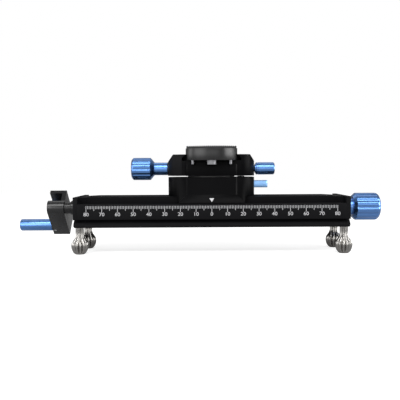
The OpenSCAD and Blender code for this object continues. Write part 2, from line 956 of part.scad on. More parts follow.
module lock_screw() color(dark_steel)
    translate([lock_x, lock_y, 0])
        difference() {
            translate([0, 0, lock_pad_foot + lock_pad_thickness + seat_gap])
                cylinder(h = carriage_top + lock_cap - lock_pad_foot - lock_pad_thickness,
                    r = lock_screw_r);
            box([-lock_screw_r - over, -0.15 * lock_screw_r, carriage_top],
                [lock_screw_r + over, 0.15 * lock_screw_r, carriage_top + over]);
        }

module lock_pad() color(brass)
    translate([lock_x, lock_y, lock_pad_foot])
        cylinder(h = lock_pad_thickness, r = lock_pad_r);

// Section of a fixed jaw's outer side and its dovetail flank, drawn in X and Z on the right
module jaw_section(inner) {
    polygon([
        [inner, clamp_bottom],
        [block_half_w, clamp_bottom],
        [block_half_w, jaw_top - jaw_bevel_h],
        [block_half_w - jaw_bevel_w, jaw_top],
        [plate_half + run_gap - jaw_top + plate_bottom + plate_edge, jaw_top],
        [plate_half + run_gap, plate_bottom + plate_edge],
        [plate_half + run_gap, seat_height],
        [inner, seat_height]
    ]);
}

// The two tongues that close the jaw's gap and slide in pockets of the clamp, drawn larger by a margin
module jaw_tongues(more)
    for (side = [0, 1])
        mirror([0, side, 0])
            box([jaw_side - over, tongue_inner - more, tongue_low - more],
                [tongue_end + more, tongue_inner + tongue_thickness + more, tongue_high + more]);

module clamp_body() color(black)
    difference() {
        union() {
            intersection() {
                translate([0, 0, clamp_bottom])
                    linear_extrude(height = jaw_top - clamp_bottom)
                        block_plan();
                run_y(-rail_width, rail_width)
                    jaw_section(clamp_side);
            }
            translate([0, 0, clamp_bottom])
                linear_extrude(height = panel_top - clamp_bottom)
                    panel_plan();
        }
        jaw_tongues(clear_gap);
        translate([0, 0, clamp_bottom - over])
            cylinder(h = clamp_seat + 2 * over, r = spindle_r + run_gap);
        translate([0, 0, spindle_top - 2 * run_gap])
            cylinder(h = clamp_seat, r = spindle_washer_r + clear_gap);
        translate([0, 0, clamp_axis]) {
            bar_x(clamp_side - over, 0, clamp_screw_r + run_gap);
            bar_x(0, block_half_w + over, pan_lock_r + run_gap);
        }
        for (y = [-guide_pin_y, guide_pin_y])
            translate([0, y, clamp_axis])
                bar_x(clamp_side - over, guide_pin_inner + seat_gap, guide_pin_r + seat_gap);
    }

module guide_pins() color(steel)
    for (y = [-guide_pin_y, guide_pin_y])
        translate([0, y, clamp_axis])
            bar_x(guide_pin_outer, guide_pin_inner, guide_pin_r);

module pan_lock_shoe() color(brass)
    translate([0, 0, clamp_axis])
        bar_x(pan_lock_shoe_start, pan_lock_shoe_start + pan_lock_shoe_length, pan_lock_r);

module pan_lock_screw() color(dark_steel)
    translate([0, 0, clamp_axis])
        bar_x(pan_lock_screw_start, pan_lock_knob_start + pan_lock_knob_length / 2, pan_lock_r);

module pan_lock_knob() color(blue)
    translate([0, 0, clamp_axis])
        difference() {
            turned_x(pan_lock_knob_start)
                polygon([
                    [0, 0],
                    [pan_lock_neck_r, 0],
                    [pan_lock_neck_r, pan_lock_neck],
                    [pan_lock_knob_r, pan_lock_neck],
                    [pan_lock_knob_r, pan_lock_knob_length - pan_lock_round],
                    [pan_lock_knob_r - 0.3 * pan_lock_round,
                     pan_lock_knob_length - 0.3 * pan_lock_round],
                    [pan_lock_knob_r - pan_lock_round, pan_lock_knob_length],
                    [0, pan_lock_knob_length]
                ]);
            bar_x(pan_lock_knob_start - over,
                pan_lock_knob_start + pan_lock_knob_length / 2 + seat_gap, pan_lock_r + seat_gap);
        }

module moving_jaw() color(black)
    difference() {
        union() {
            intersection() {
                translate([0, 0, clamp_bottom])
                    linear_extrude(height = jaw_top - clamp_bottom)
                        block_plan();
                mirror([1, 0, 0])
                    run_y(-rail_width, rail_width)
                        jaw_section(-jaw_side);
            }
            jaw_tongues(0);
        }
        box([-block_width, -2 * block_half_d, clamp_bottom - over],
            [0, 2 * block_half_d, clamp_bottom + run_gap]);
        translate([0, 0, clamp_axis])
            bar_x(-block_width, 0, clamp_screw_r + run_gap);
        for (y = [-guide_pin_y, guide_pin_y])
            translate([0, y, clamp_axis])
                bar_x(guide_pin_outer - clear_gap, 0, guide_pin_r + run_gap);
    }

module clamp_washer() color(steel)
    translate([0, 0, clamp_axis])
        difference() {
            bar_x(-block_half_w - clamp_washer_t - seat_gap, -block_half_w - seat_gap, clamp_washer_r);
            bar_x(-block_width, 0, clamp_screw_r + seat_gap);
        }

module clamp_screw() color(steel)
    translate([0, 0, clamp_axis])
        bar_x(clamp_head_start - clamp_knob_length / 2, clamp_screw_tip, clamp_screw_r);

module clamp_ring() color(dark_steel)
    translate([0, 0, clamp_axis])
        difference() {
            bar_x(jaw_side + 2 * seat_gap, jaw_side + 2 * seat_gap + clamp_ring, clamp_ring_r);
            bar_x(-block_width, 0, clamp_screw_r + seat_gap);
        }

module clamp_knob() color(blue)
    translate([0, 0, clamp_axis])
        difference() {
            turned_x(clamp_knob_end)
                polygon([
                    [0, 0],
                    [clamp_knob_r - clamp_knob_bevel, 0],
                    [clamp_knob_r, clamp_knob_bevel],
                    [clamp_knob_r, clamp_knob_length - clamp_knob_bevel],
                    [clamp_knob_r - clamp_knob_bevel, clamp_knob_length],
                    [clamp_neck_r, clamp_knob_length + clamp_knob_bevel],
                    [clamp_neck_r, clamp_knob_length + clamp_neck_length],
                    [0, clamp_knob_length + clamp_neck_length]
                ]);
            flutes_x(clamp_knob_end - over, clamp_head_start - 0.3 * clamp_knob_bevel,
                clamp_knob_r + 0.8 * clamp_flute_r, clamp_flute_r, flute_count);
            bar_x(clamp_head_start - clamp_knob_length / 2 - seat_gap, 0, clamp_screw_r + seat_gap);
        }

// Plan of the plate, with round ends, drawn in by a margin
module plate_plan(margin) {
    intersection() {
        union() {
            for (side = [-1, 1])
                translate([0, side * (plate_end - plate_half)])
                    circle(r = plate_half - margin);
            translate([-plate_half, -plate_end + plate_half])
                square([plate_width, plate_length - plate_width]);
        }
        translate([-plate_half + margin, -plate_end])
            square([plate_width - 2 * margin, plate_length]);
    }
}

module plate() color(black)
    difference() {
        intersection() {
            translate([0, 0, plate_bottom])
                linear_extrude(height = plate_thickness)
                    plate_plan(0);
            run_y(-plate_length, plate_length)
                polygon([
                    [-plate_half, plate_bottom],
                    [plate_half, plate_bottom],
                    [plate_half, plate_bottom + plate_edge],
                    [plate_body_half, plate_bottom + plate_edge + plate_flank],
                    [plate_body_half, plate_top],
                    [-plate_body_half, plate_top],
                    [-plate_body_half, plate_bottom + plate_edge + plate_flank],
                    [-plate_half, plate_bottom + plate_edge]
                ]);
        }
        camera_slot(camera_slot_r, plate_bottom - over, plate_top + over);
        camera_slot(camera_pocket_r, plate_bottom - over, plate_top - camera_web);
        for (x = [-stop_pin_x, stop_pin_x])
            translate([x, stop_pin_y, plate_bottom - over])
                cylinder(h = stop_pin_depth + over, r = stop_pin_r + seat_gap);
        translate([0, stop_screw_y, plate_bottom - over])
            cylinder(h = stop_pin_depth + over, r = stop_screw_shank_r + seat_gap);
    }

// A slot along Y with round ends, from z0 to z1
module camera_slot(r, z0, z1) {
    for (y = [-camera_slot_half + camera_slot_r, camera_slot_half - camera_slot_r])
        translate([0, y, z0])
            cylinder(h = z1 - z0, r = r);
    box([-r, -camera_slot_half + camera_slot_r, z0], [r, camera_slot_half - camera_slot_r, z1]);
}

module plate_pad() color(rubber)
    difference() {
        translate([0, 0, plate_top + seat_gap])
            linear_extrude(height = pad_thickness - seat_gap)
                intersection() {
                    plate_plan(pad_inset);
                    translate([-pad_half, -plate_end])
                        square([2 * pad_half, plate_length]);
                }
        camera_slot(camera_slot_r, plate_top - over, pad_top + over);
        for (i = [1 : pad_rib_count - 1])
            translate([-pad_half + i * pad_rib_pitch, 0, pad_top])
                box([-pad_groove_share * pad_rib_pitch / 2, -plate_length, -pad_rib_height],
                    [pad_groove_share * pad_rib_pitch / 2, plate_length, over]);
    }

module plate_stop_pins() color(steel)
    for (x = [-stop_pin_x, stop_pin_x])
        translate([x, stop_pin_y, plate_bottom - stop_pin_drop])
            cylinder(h = stop_pin_drop + stop_pin_depth - seat_gap, r = stop_pin_r);

module plate_stop_screw() color(steel)
    translate([0, stop_screw_y, plate_bottom - stop_screw_drop])
        difference() {
            union() {
                cylinder(h = stop_screw_drop - seat_gap, r = stop_screw_r);
                cylinder(h = stop_screw_drop + stop_pin_depth - seat_gap, r = stop_screw_shank_r);
            }
            for (i = [0 : 2 * flute_count - 1])
                rotate([0, 0, i * 180 / flute_count])
                    translate([stop_screw_r + 0.05 * stop_screw_r, 0, -over])
                        cylinder(h = stop_screw_drop + over, r = 0.1 * stop_screw_r);
        }

module camera_screw() color(steel)
    difference() {
        union() {
            translate([0, 0, plate_bottom + seat_gap])
                cylinder(h = camera_head, r = camera_head_r);
            translate([0, 0, plate_bottom + seat_gap])
                cylinder(h = pad_top - plate_bottom - clear_gap, r = camera_screw_r);
        }
        translate([0, 0, plate_bottom - over])
            cylinder(h = camera_head + over, r = camera_screw_r * 0.7, $fn = 6);
    }

rail_body();
end_block_left();
end_block_right();
end_block_screws();
bushing_left();
bushing_right();
foot_front_left();
foot_front_right();
foot_rear_left();
foot_rear_right();
lead_screw();
thrust_washers();
drive_knob();
drive_knob_screw();
crank_collar();
crank_arm();
crank_screw();
grip_spindle();
grip_pin();
crank_grip();
carriage();
drive_nut();
backlash_nut();
backlash_spring();
nut_screws();
gib_strip();
gib_screws();
pan_spindle();
pan_washer();
spindle_washer();
spindle_screw();
lock_lever();
lock_screw();
lock_pad();
clamp_body();
guide_pins();
pan_lock_shoe();
pan_lock_screw();
pan_lock_knob();
moving_jaw();
clamp_washer();
clamp_screw();
clamp_ring();
clamp_knob();
plate();
plate_pad();
plate_stop_pins();
plate_stop_screw();
camera_screw();
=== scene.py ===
# %% [markdown]
# # A macro focusing rail
# This lesson dresses a small photographer's tool: a graduated rail with a lead screw, on which a
# carriage with a panning plate clamp is moved by a crank on the left and a knob on the right. The
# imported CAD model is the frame. It gives every piece its place and its size in metres, so nothing
# has to be fitted by eye. The X axis runs along the rail, the graduated face looks to -Y, and Z is
# up.

# %% The frame
import json
import math

import bpy
from mathutils import Matrix, Vector


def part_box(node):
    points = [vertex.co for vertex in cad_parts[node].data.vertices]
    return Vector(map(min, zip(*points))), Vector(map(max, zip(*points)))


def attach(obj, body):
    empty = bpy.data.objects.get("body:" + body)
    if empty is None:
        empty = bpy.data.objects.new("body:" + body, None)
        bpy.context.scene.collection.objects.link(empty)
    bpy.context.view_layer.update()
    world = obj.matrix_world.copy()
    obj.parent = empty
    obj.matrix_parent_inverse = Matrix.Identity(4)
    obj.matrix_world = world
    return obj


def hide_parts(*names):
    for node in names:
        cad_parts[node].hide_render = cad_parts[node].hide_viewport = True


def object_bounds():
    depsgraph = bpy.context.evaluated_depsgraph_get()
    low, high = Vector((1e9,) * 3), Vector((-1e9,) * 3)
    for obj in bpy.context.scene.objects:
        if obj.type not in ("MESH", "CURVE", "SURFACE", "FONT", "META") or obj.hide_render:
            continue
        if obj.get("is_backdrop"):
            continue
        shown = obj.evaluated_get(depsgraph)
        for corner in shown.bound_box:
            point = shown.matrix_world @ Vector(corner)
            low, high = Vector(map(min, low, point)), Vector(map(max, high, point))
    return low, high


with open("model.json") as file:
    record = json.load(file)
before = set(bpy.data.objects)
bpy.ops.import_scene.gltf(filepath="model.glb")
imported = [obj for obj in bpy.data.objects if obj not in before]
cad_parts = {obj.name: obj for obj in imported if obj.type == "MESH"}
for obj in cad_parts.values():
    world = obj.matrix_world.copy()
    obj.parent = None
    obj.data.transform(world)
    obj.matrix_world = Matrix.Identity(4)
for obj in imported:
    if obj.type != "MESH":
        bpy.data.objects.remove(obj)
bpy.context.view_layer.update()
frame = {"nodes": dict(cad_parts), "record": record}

mm = 0.001

# %% [markdown]
# ## Working tools
# A few habits make scripted modelling as safe as modelling by hand. Operators act on all that is
# selected, so every step first lets go of everything. Faces, edges and corners are then picked by
# their place or their direction, which is what the hand and the eye do in the viewport.

# %% Letting go, taking and picking
def let_go():
    """Leaves edit mode and deselects everything"""
    if bpy.context.object and bpy.context.object.mode != "OBJECT":
        bpy.ops.object.mode_set(mode="OBJECT")
    bpy.ops.object.select_all(action="DESELECT")


def take(piece):
    """Makes one piece the only selected one"""
    let_go()
    piece.select_set(True)
    bpy.context.view_layer.objects.active = piece


def pick(piece, kind, test):
    """Enters edit mode with only those faces, edges or corners selected that pass

    The test is given a face's or corner's place and normal, or an edge's middle and direction
    """
    take(piece)
    bpy.ops.object.mode_set(mode="EDIT")
    bpy.ops.mesh.select_mode(type=kind)
    bpy.ops.mesh.select_all(action="DESELECT")
    bpy.ops.object.mode_set(mode="OBJECT")
    mesh = piece.data
    if kind == "FACE":
        for face in mesh.polygons:
            face.select = test(face.center, face.normal)
    elif kind == "EDGE":
        for edge in mesh.edges:
            a, b = (mesh.vertices[i].co for i in edge.vertices)
            edge.select = test((a + b) / 2, b - a)
    else:
        for corner in mesh.vertices:
            corner.select = test(corner.co, corner.normal)
    bpy.ops.object.mode_set(mode="EDIT")


# %% [markdown]
# A finished piece has its place, its turn and its size in its mesh and not in its object, so that
# every pattern of a material keeps the same scale on all pieces. What repeats is modelled once and
# copied, and each copy has a mesh of its own.

# %% Settling, copying and joining
def settle():
    """Puts the active piece's place, turn and size into its mesh"""
    bpy.ops.object.transform_apply(location=True, rotation=True, scale=True)


def twin(piece, shift):
    """A copy with a mesh of its own, moved by the shift"""
    copy = piece.copy()
    copy.data = piece.data.copy()
    copy.data.transform(Matrix.Translation(shift))
    bpy.context.scene.collection.objects.link(copy)
    return copy


def join(pieces, name):
    """Joins separate shells into one piece"""
    take(pieces[0])
    for piece in pieces[1:]:
        piece.select_set(True)
    bpy.ops.object.join()
    pieces[0].name = name
    return pieces[0]


# %% [markdown]
# Every modifier is applied at once, so that the next step works on real geometry. The bevel is the
# one used most: no machined edge is perfectly sharp, and the thin facet that a file or a tumbler
# leaves is what catches the light. Faces that meet at less than thirty degrees are shaded as one
# surface. The fluted knobs take a smaller angle, so that every flute keeps its ridge, and the feet
# a larger one, so that their steep bulbs look smooth.

# %% Modifiers, bevels and shading
SMOOTH_ANGLE = 30  # degrees


def apply_modifier(piece, kind, **settings):
    """Adds a modifier, sets it and applies it"""
    take(piece)
    modifier = piece.modifiers.new(kind.title(), kind)
    for name, value in settings.items():
        setattr(modifier, name, value)
    bpy.ops.object.modifier_apply(modifier=modifier.name)


def shade(piece, degrees=SMOOTH_ANGLE):
    """Shades faces as one surface where they meet at less than the angle"""
    take(piece)
    bpy.ops.object.shade_smooth_by_angle(angle=math.radians(degrees))


def soften(piece, width, segments=2):
    """Bevels the sharp edges, as a tool or a tumbler breaks them, and shades the rest smooth"""
    apply_modifier(piece, "BEVEL", width=width, segments=segments, limit_method="ANGLE",
                   angle_limit=math.radians(SMOOTH_ANGLE), harden_normals=False)
    shade(piece)


def cut(piece, tool):
    """Takes the tool's volume out of the piece and throws the tool away"""
    apply_modifier(piece, "BOOLEAN", object=tool, operation="DIFFERENCE", solver="EXACT")
    bpy.data.objects.remove(tool)


# %% [markdown]
# A CAD solid arrives as loose triangles. A copy whose doubles are merged and whose flat faces are
# joined again has clean edges, and only such edges can be bevelled. The solid itself is never
# touched. A swept shell is closed in much the same way: its doubles are merged, its open ends are
# filled, and all its faces are turned outwards.

# %% Clean meshes
SAME_PLACE = 0.0005 * mm
FLAT_ANGLE = 0.4  # degrees


def from_frame(node, name):
    """A clean modelling start with a CAD node's shape: doubles merged and flat faces joined"""
    piece = bpy.data.objects.new(name, frame["nodes"][node].data.copy())
    bpy.context.scene.collection.objects.link(piece)
    piece.data.materials.clear()
    take(piece)
    bpy.ops.object.mode_set(mode="EDIT")
    bpy.ops.mesh.select_all(action="SELECT")
    bpy.ops.mesh.remove_doubles(threshold=SAME_PLACE)
    bpy.ops.mesh.dissolve_limited(angle_limit=math.radians(FLAT_ANGLE))
    bpy.ops.object.mode_set(mode="OBJECT")
    return piece


def close_shell(piece, hole_sides=0):
    """Merges doubles, fills holes of up to that many sides and turns the faces outwards"""
    take(piece)
    bpy.ops.object.mode_set(mode="EDIT")
    bpy.ops.mesh.select_all(action="SELECT")
    bpy.ops.mesh.remove_doubles(threshold=2 * SAME_PLACE if hole_sides else SAME_PLACE)
    if hole_sides:
        bpy.ops.mesh.fill_holes(sides=hole_sides)
    bpy.ops.mesh.normals_make_consistent(inside=False)
    bpy.ops.object.mode_set(mode="OBJECT")


# %% [markdown]
# Most small pieces of this object came off a lathe. The script turns them in the same way: a disc
# is extruded along the axis and resized at every station, as a turner cuts one step after the
# other. The stations are written as rows of millimetres, each a distance from some end of the
# piece and a radius.

# %% The lathe
TURN_TO = {"X": (0, math.pi / 2, 0), "Z": (0, 0, 0)}
ALONG = {"X": Vector((1, 0, 0)), "Z": Vector((0, 0, 1))}


def off_axis(place, along):
    """The part of a place that lies across the axis"""
    place = Vector(place)
    return place - along * place.dot(along)


def across(along, share):
    """The factors that resize across the axis and leave the length as it is"""
    return [1 if along[i] else share for i in range(3)]


def stations(origin, rows):
    """Places on the axis and radii in metres, from rows of millimetres that count from an origin"""
    return [(origin + place * mm, radius * mm) for place, radius in rows]


def turned(name, axis, centre, steps, sides=96):
    """A disc that is extruded and resized from station to station"""
    let_go()
    along = ALONG[axis]
    centre = off_axis(centre, along)
    place, radius = steps[0]
    bpy.ops.mesh.primitive_circle_add(vertices=sides, radius=radius, fill_type="NGON",
                                      location=centre + along * place, rotation=TURN_TO[axis])
    piece = bpy.context.object
    piece.name = name
    settle()
    bpy.ops.object.mode_set(mode="EDIT")
    bpy.ops.mesh.select_mode(type="FACE")
    bpy.ops.mesh.select_all(action="SELECT")
    for (old_place, old_radius), (place, radius) in zip(steps, steps[1:]):
        bpy.ops.mesh.extrude_region_move(
            TRANSFORM_OT_translate={"value": along * (place - old_place)})
        bpy.ops.transform.resize(value=across(along, radius / old_radius),
                                 center_override=centre + along * place)
    bpy.ops.mesh.select_all(action="SELECT")
    bpy.ops.mesh.normals_make_consistent(inside=False)
    bpy.ops.object.mode_set(mode="OBJECT")
    shade(piece)
    return piece


# %% [markdown]
# Flutes are pressed in after turning, by drawing columns of corners towards the axis. A piece with
# 192 corners in each ring and twelve flutes has sixteen columns to a flute. The middle column is
# drawn in most and its neighbours less, and what isn't drawn in stays as the land in between.

# %% Flutes
FLUTES = 12


def flute(piece, axis, centre, start, end, sides, shares):
    """Presses flutes in between two places on the axis

    The shares of the radius that stay are given from a flute's middle column outwards
    """
    along = ALONG[axis]
    centre = off_axis(centre, along)
    first, second = [i for i in range(3) if not along[i]]
    period = sides // FLUTES

    def column(place):
        """How many corners this one lies from the middle of its flute"""
        spoke = place - centre
        turn = math.atan2(spoke[second], spoke[first]) / math.tau * sides
        return abs((round(turn) + period // 2) % period - period // 2)

    for distance, share in enumerate(shares):
        pick(piece, "VERT", lambda place, normal: start < place.dot(along) < end
             and column(place) == distance)
        bpy.ops.transform.resize(value=across(along, share), center_override=centre)
    bpy.ops.object.mode_set(mode="OBJECT")


# %% [markdown]
# A screw thread is a short profile that is swept along a helix. The Screw modifier does just that,
# so one ridge, drawn as a small closed loop and given the thread's pitch, becomes the whole thread.
# It stands a little way in the core, so that no gap shows, and its crest is drawn together to the
# narrow land that a rolled or cut thread has. The core itself is turned.

# %% The thread cutter
ROOTED_SHARE = 0.15
ROOT_WIDTH_SHARE = 0.92
CREST_WIDTH_SHARE = 0.22


def thread(name, axis, centre, start, end, root, crest, pitch, steps=20):
    """A right-handed ridge of the given pitch between two places on the axis"""
    let_go()
    foot = root - ROOTED_SHARE * (crest - root)
    bpy.ops.mesh.primitive_plane_add(size=1, location=((foot + crest) / 2, 0, 0),
                                     rotation=(math.pi / 2, 0, 0))
    ridge = bpy.context.object
    ridge.name = name
    ridge.scale = (abs(crest - foot), ROOT_WIDTH_SHARE * pitch, 1)
    settle()
    pick(ridge, "EDGE", lambda place, along: abs(place.x - crest) < 0.01 * mm)
    bpy.ops.transform.resize(value=(1, 1, CREST_WIDTH_SHARE), center_override=(crest, 0, 0))
    turns = round((end - start) / pitch) - 1
    apply_modifier(ridge, "SCREW", axis="Z", screw_offset=pitch, iterations=turns,
                   steps=steps, render_steps=steps, use_merge_vertices=False)
    close_shell(ridge, hole_sides=4)
    ridge.rotation_euler = TURN_TO[axis]
    along = ALONG[axis]
    ridge.location = off_axis(centre, along) + along * (start + pitch / 2)
    settle()
    return ridge


# %% [markdown]
# ## Colours and the one node helper
# Colours are picked as the hex values that a paint program shows, which are sRGB. Blender's shaders
# count in linear light, so one function turns them. Every material below is built by one small
# function that adds a node with its settings and its links.

# %% Colour and node helpers
def linear(code):
    """A linear RGBA colour from an sRGB hex value, by the curve of the sRGB standard"""
    shares = [int(code[i:i + 2], 16) / 255 for i in (1, 3, 5)]
    return (*[s / 12.92 if s <= 0.04045 else ((s + 0.055) / 1.055) ** 2.4 for s in shares], 1)


def add_node(tree, kind, values=None, links=None, **settings):
    """Adds a node, sets it, fills its sockets and links what feeds it"""
    node = tree.nodes.new(kind)
    for name, value in settings.items():
        setattr(node, name, value)
    for socket, value in (values or {}).items():
        node.inputs[socket].default_value = value
    for socket, source in (links or {}).items():
        tree.links.new(source, node.inputs[socket])
    return node


def new_finish(name):
    """An empty material with its tree and its object coordinates"""
    material = bpy.data.materials.new(name)
    material.use_nodes = True
    tree = material.node_tree
    tree.nodes.clear()
    place = add_node(tree, "ShaderNodeTexCoord").outputs["Object"]
    print("finish:", material.name)
    return material, tree, place


def close_finish(tree, values, links):
    """Puts the shader and the output at the end of a material"""
    shader = add_node(tree, "ShaderNodeBsdfPrincipled", values, links)
    add_node(tree, "ShaderNodeOutputMaterial", links={"Surface": shader.outputs["BSDF"]})


# %% [markdown]
# ## Black anodised aluminium
# The rail, the carriage and the clamp are made of aluminium and dyed black in an anodising bath.
# The oxide layer is a clear ceramic over a black dye: it reflects little straight on and more at a
# shallow angle, which is why the deck looks pale beside the black face. One function serves four
# variants. The extruded rail is blasted with fine beads, the milled blocks are blasted more
# coarsely and look darker, the collar and plate keep a satin turned surface that carries clear
# highlights, and the crank is the glossiest of all.
# Blasting leaves dimples of about 0.1 mm. They are drawn at 0.35 mm here, because finer ones would
# vanish in the render, and a slow mottle of 14 mm in the roughness gives the soft, uneven sheen of
# a real bath. A noise seldom leaves the range from 0.3 to 0.7, so that range is spread over the
# whole roughness, here and in the other finishes.

# %% Black anodised finishes
def anodised(name, dark, light, smooth, rough, depth, level):
    """A black anodised skin between two roughnesses, with a depth of dimples and a gloss level"""
    material, tree, place = new_finish(name)
    dimple = add_node(tree, "ShaderNodeTexNoise", {"Scale": 1 / (0.35 * mm), "Detail": 2.0},
                      {"Vector": place}).outputs["Fac"]
    cloud = add_node(tree, "ShaderNodeTexNoise", {"Scale": 1 / (14 * mm), "Detail": 3.0},
                     {"Vector": place}).outputs["Fac"]
    sheen = add_node(tree, "ShaderNodeMapRange", {"From Min": 0.3, "From Max": 0.7,
                     "To Min": smooth, "To Max": rough}, {"Value": cloud}).outputs["Result"]
    tint = add_node(tree, "ShaderNodeMix", {"A": linear(dark), "B": linear(light)},
                    {"Factor": cloud}, data_type="RGBA").outputs["Result"]
    relief = add_node(tree, "ShaderNodeBump", {"Strength": depth, "Distance": 0.01 * mm},
                      {"Height": dimple}).outputs["Normal"]
    close_finish(tree, {"Specular IOR Level": level, "IOR": 1.5},
                 {"Base Color": tint, "Roughness": sheen, "Normal": relief})
    return material


rail_black = anodised("blasted_black_rail", "#060608", "#09090B", 0.48, 0.58, 0.12, 0.09)
block_black = anodised("blasted_black_blocks", "#030304", "#050506", 0.34, 0.42, 0.16, 0.04)
satin_black = anodised("satin_black_anodised", "#060607", "#0A0A0B", 0.28, 0.34, 0.06, 0.45)
crank_black = anodised("semi_gloss_black_anodised", "#08080A", "#0C0C0E", 0.24, 0.3, 0.05, 0.55)

# %% [markdown]
# ## Blue anodised aluminium
# The knobs and the grip are turned from bar and the lever is milled flat, and all are dyed blue.
# They aren't blasted, so the metal shines through the dye: all of the reflection is blue, and it is
# much brighter than on black. A lathe leaves rings round the axis, a tenth of a millimetre apart.
# Every turned blue piece has its axis along X, so bands across X stand for the rings. They are
# drawn wavy and 2.5 mm apart, because finer ones would vanish in the render. The lever is given a
# plainly lighter blue than the turned pieces: a painted highlight that stands in for the front
# light which its flat face mirrors.
# A wave texture turns by 20 radians per metre at scale 1, so 0.4 mm to the radian makes bands of
# 2 pi times 0.4 mm.

# %% Blue anodised finishes
WAVE_RADIANS = 20


def blue(name, dark, light, smooth, rough):
    """Aluminium dyed blue over turning rings, between two roughnesses"""
    material, tree, place = new_finish(name)
    rings = add_node(tree, "ShaderNodeTexWave",
                     {"Scale": 1 / (0.4 * mm) / WAVE_RADIANS, "Distortion": 1.5, "Detail": 2.0,
                      "Detail Scale": 2.0}, {"Vector": place},
                     wave_type="BANDS", bands_direction="X").outputs["Fac"]
    cloud = add_node(tree, "ShaderNodeTexNoise", {"Scale": 1 / (6 * mm), "Detail": 3.0},
                     {"Vector": place}).outputs["Fac"]
    sheen = add_node(tree, "ShaderNodeMapRange", {"From Min": 0.3, "From Max": 0.7,
                     "To Min": smooth, "To Max": rough}, {"Value": cloud}).outputs["Result"]
    tint = add_node(tree, "ShaderNodeMix", {"A": linear(dark), "B": linear(light)},
                    {"Factor": cloud}, data_type="RGBA").outputs["Result"]
    relief = add_node(tree, "ShaderNodeBump", {"Strength": 0.08, "Distance": 0.01 * mm},
                      {"Height": rings}).outputs["Normal"]
    close_finish(tree, {"Metallic": 1.0, "Coat Weight": 0.5, "Coat Roughness": 0.15},
                 {"Base Color": tint, "Roughness": sheen, "Normal": relief})
    return material


anodised_blue = blue("anodised_blue", "#5480BE", "#5F8CCB", 0.27, 0.36)
# The lever's lighter blue is a painted highlight, for the front light that its flat face mirrors.
lever_blue_painted_highlight = blue("anodised_blue_painted_highlight", "#7FB0E6", "#8DBBEE", 0.3, 0.4)

# %% [markdown]
# ## Steels
# Four steels show. The feet are stainless steel, polished bright. The stop screw and the two stop
# pins under the plate are plated with zinc, which is greyer. The lead screw, the spindle and the
# washers are ground, which leaves fine lines and a duller shine. The small socket screws are
# blackened in an oil bath, so they are dark grey with a slightly oily gleam. Grinding and polishing
# leave lines of a few hundredths of a millimetre, and they are drawn at 0.25 to 0.4 mm, or the
# render wouldn't show them.

# %% Polished, ground, plated and blackened steel
def steel(name, dark, light, smooth, rough, grain, depth):
    """A steel with a grain of the given size in metres, between two roughnesses"""
    material, tree, place = new_finish(name)
    scratch = add_node(tree, "ShaderNodeTexNoise", {"Scale": 1 / grain, "Detail": 3.0},
                       {"Vector": place}).outputs["Fac"]
    cloud = add_node(tree, "ShaderNodeTexNoise", {"Scale": 1 / (5 * mm), "Detail": 2.0},
                     {"Vector": place}).outputs["Fac"]
    shine = add_node(tree, "ShaderNodeMapRange", {"From Min": 0.3, "From Max": 0.7,
                     "To Min": smooth, "To Max": rough}, {"Value": scratch}).outputs["Result"]
    tint = add_node(tree, "ShaderNodeMix", {"A": linear(dark), "B": linear(light)},
                    {"Factor": cloud}, data_type="RGBA").outputs["Result"]
    relief = add_node(tree, "ShaderNodeBump", {"Strength": depth, "Distance": 0.005 * mm},
                      {"Height": scratch}).outputs["Normal"]
    close_finish(tree, {"Metallic": 1.0},
                 {"Base Color": tint, "Roughness": shine, "Normal": relief})
    return material


polished_steel = steel("polished_stainless_steel", "#8E8C89", "#9E9C99", 0.16, 0.26, 0.4 * mm, 0.03)
ground_steel = steel("ground_steel_skin", "#9B9B9C", "#B4B4B4", 0.24, 0.4, 0.25 * mm, 0.15)
plated_steel = steel("zinc_plated_steel", "#6C6C6F", "#7C7C7F", 0.3, 0.45, 0.25 * mm, 0.15)
black_steel = steel("blackened_steel", "#2A2A2C", "#3A3A3C", 0.3, 0.45, 0.3 * mm, 0.15)

# %% [markdown]
# ## Brass
# The nuts, bushings and pressure pads are machined brass, which is kind to a steel screw. Brass is
# a warm metal with slightly uneven colour, because it tarnishes from the moment it is cut. The tool
# marks are bands about 3 mm apart, far coarser than a real tool leaves them, to show at all.

# %% Brass
machined_brass, tree, place = new_finish("machined_brass")
cloud = add_node(tree, "ShaderNodeTexNoise", {"Scale": 1 / (3 * mm), "Detail": 4.0},
                 {"Vector": place}).outputs["Fac"]
tint = add_node(tree, "ShaderNodeMix", {"A": linear("#9C7A38"), "B": linear("#C29C50")},
                {"Factor": cloud}, data_type="RGBA").outputs["Result"]
marks = add_node(tree, "ShaderNodeTexWave",
                 {"Scale": 1 / (0.5 * mm) / WAVE_RADIANS, "Distortion": 2.0}, {"Vector": place},
                 wave_type="BANDS", bands_direction="X").outputs["Fac"]
relief = add_node(tree, "ShaderNodeBump", {"Strength": 0.15, "Distance": 0.01 * mm},
                  {"Height": marks}).outputs["Normal"]
close_finish(tree, {"Metallic": 1.0, "Roughness": 0.32}, {"Base Color": tint, "Normal": relief})

# %% [markdown]
# ## Nylon
# The thin washers are pressed from nylon, dyed black so that no pale line shows in the joints. It
# is a plain plastic: dark, with a waxy half gloss and soft waves where it shrank in the mould. A
# low noise in the bump is enough.

# %% Nylon
dyed_nylon, tree, place = new_finish("dyed_nylon")
cloud = add_node(tree, "ShaderNodeTexNoise", {"Scale": 1 / (2 * mm), "Detail": 2.0},
                 {"Vector": place}).outputs["Fac"]
tint = add_node(tree, "ShaderNodeMix", {"A": linear("#141415"), "B": linear("#1C1C1E")},
                {"Factor": cloud}, data_type="RGBA").outputs["Result"]
relief = add_node(tree, "ShaderNodeBump", {"Strength": 0.1, "Distance": 0.01 * mm},
                  {"Height": cloud}).outputs["Normal"]
close_finish(tree, {"Roughness": 0.48, "IOR": 1.53}, {"Base Color": tint, "Normal": relief})

# %% [markdown]
# ## Rubber
# The plate's pad is moulded from black rubber. Rubber scatters light at every angle, so it looks
# greyer and flatter than black metal. A fine grain in the bump stands for the moulded skin, and a
# slow noise in the colour for the dust that it gathers.

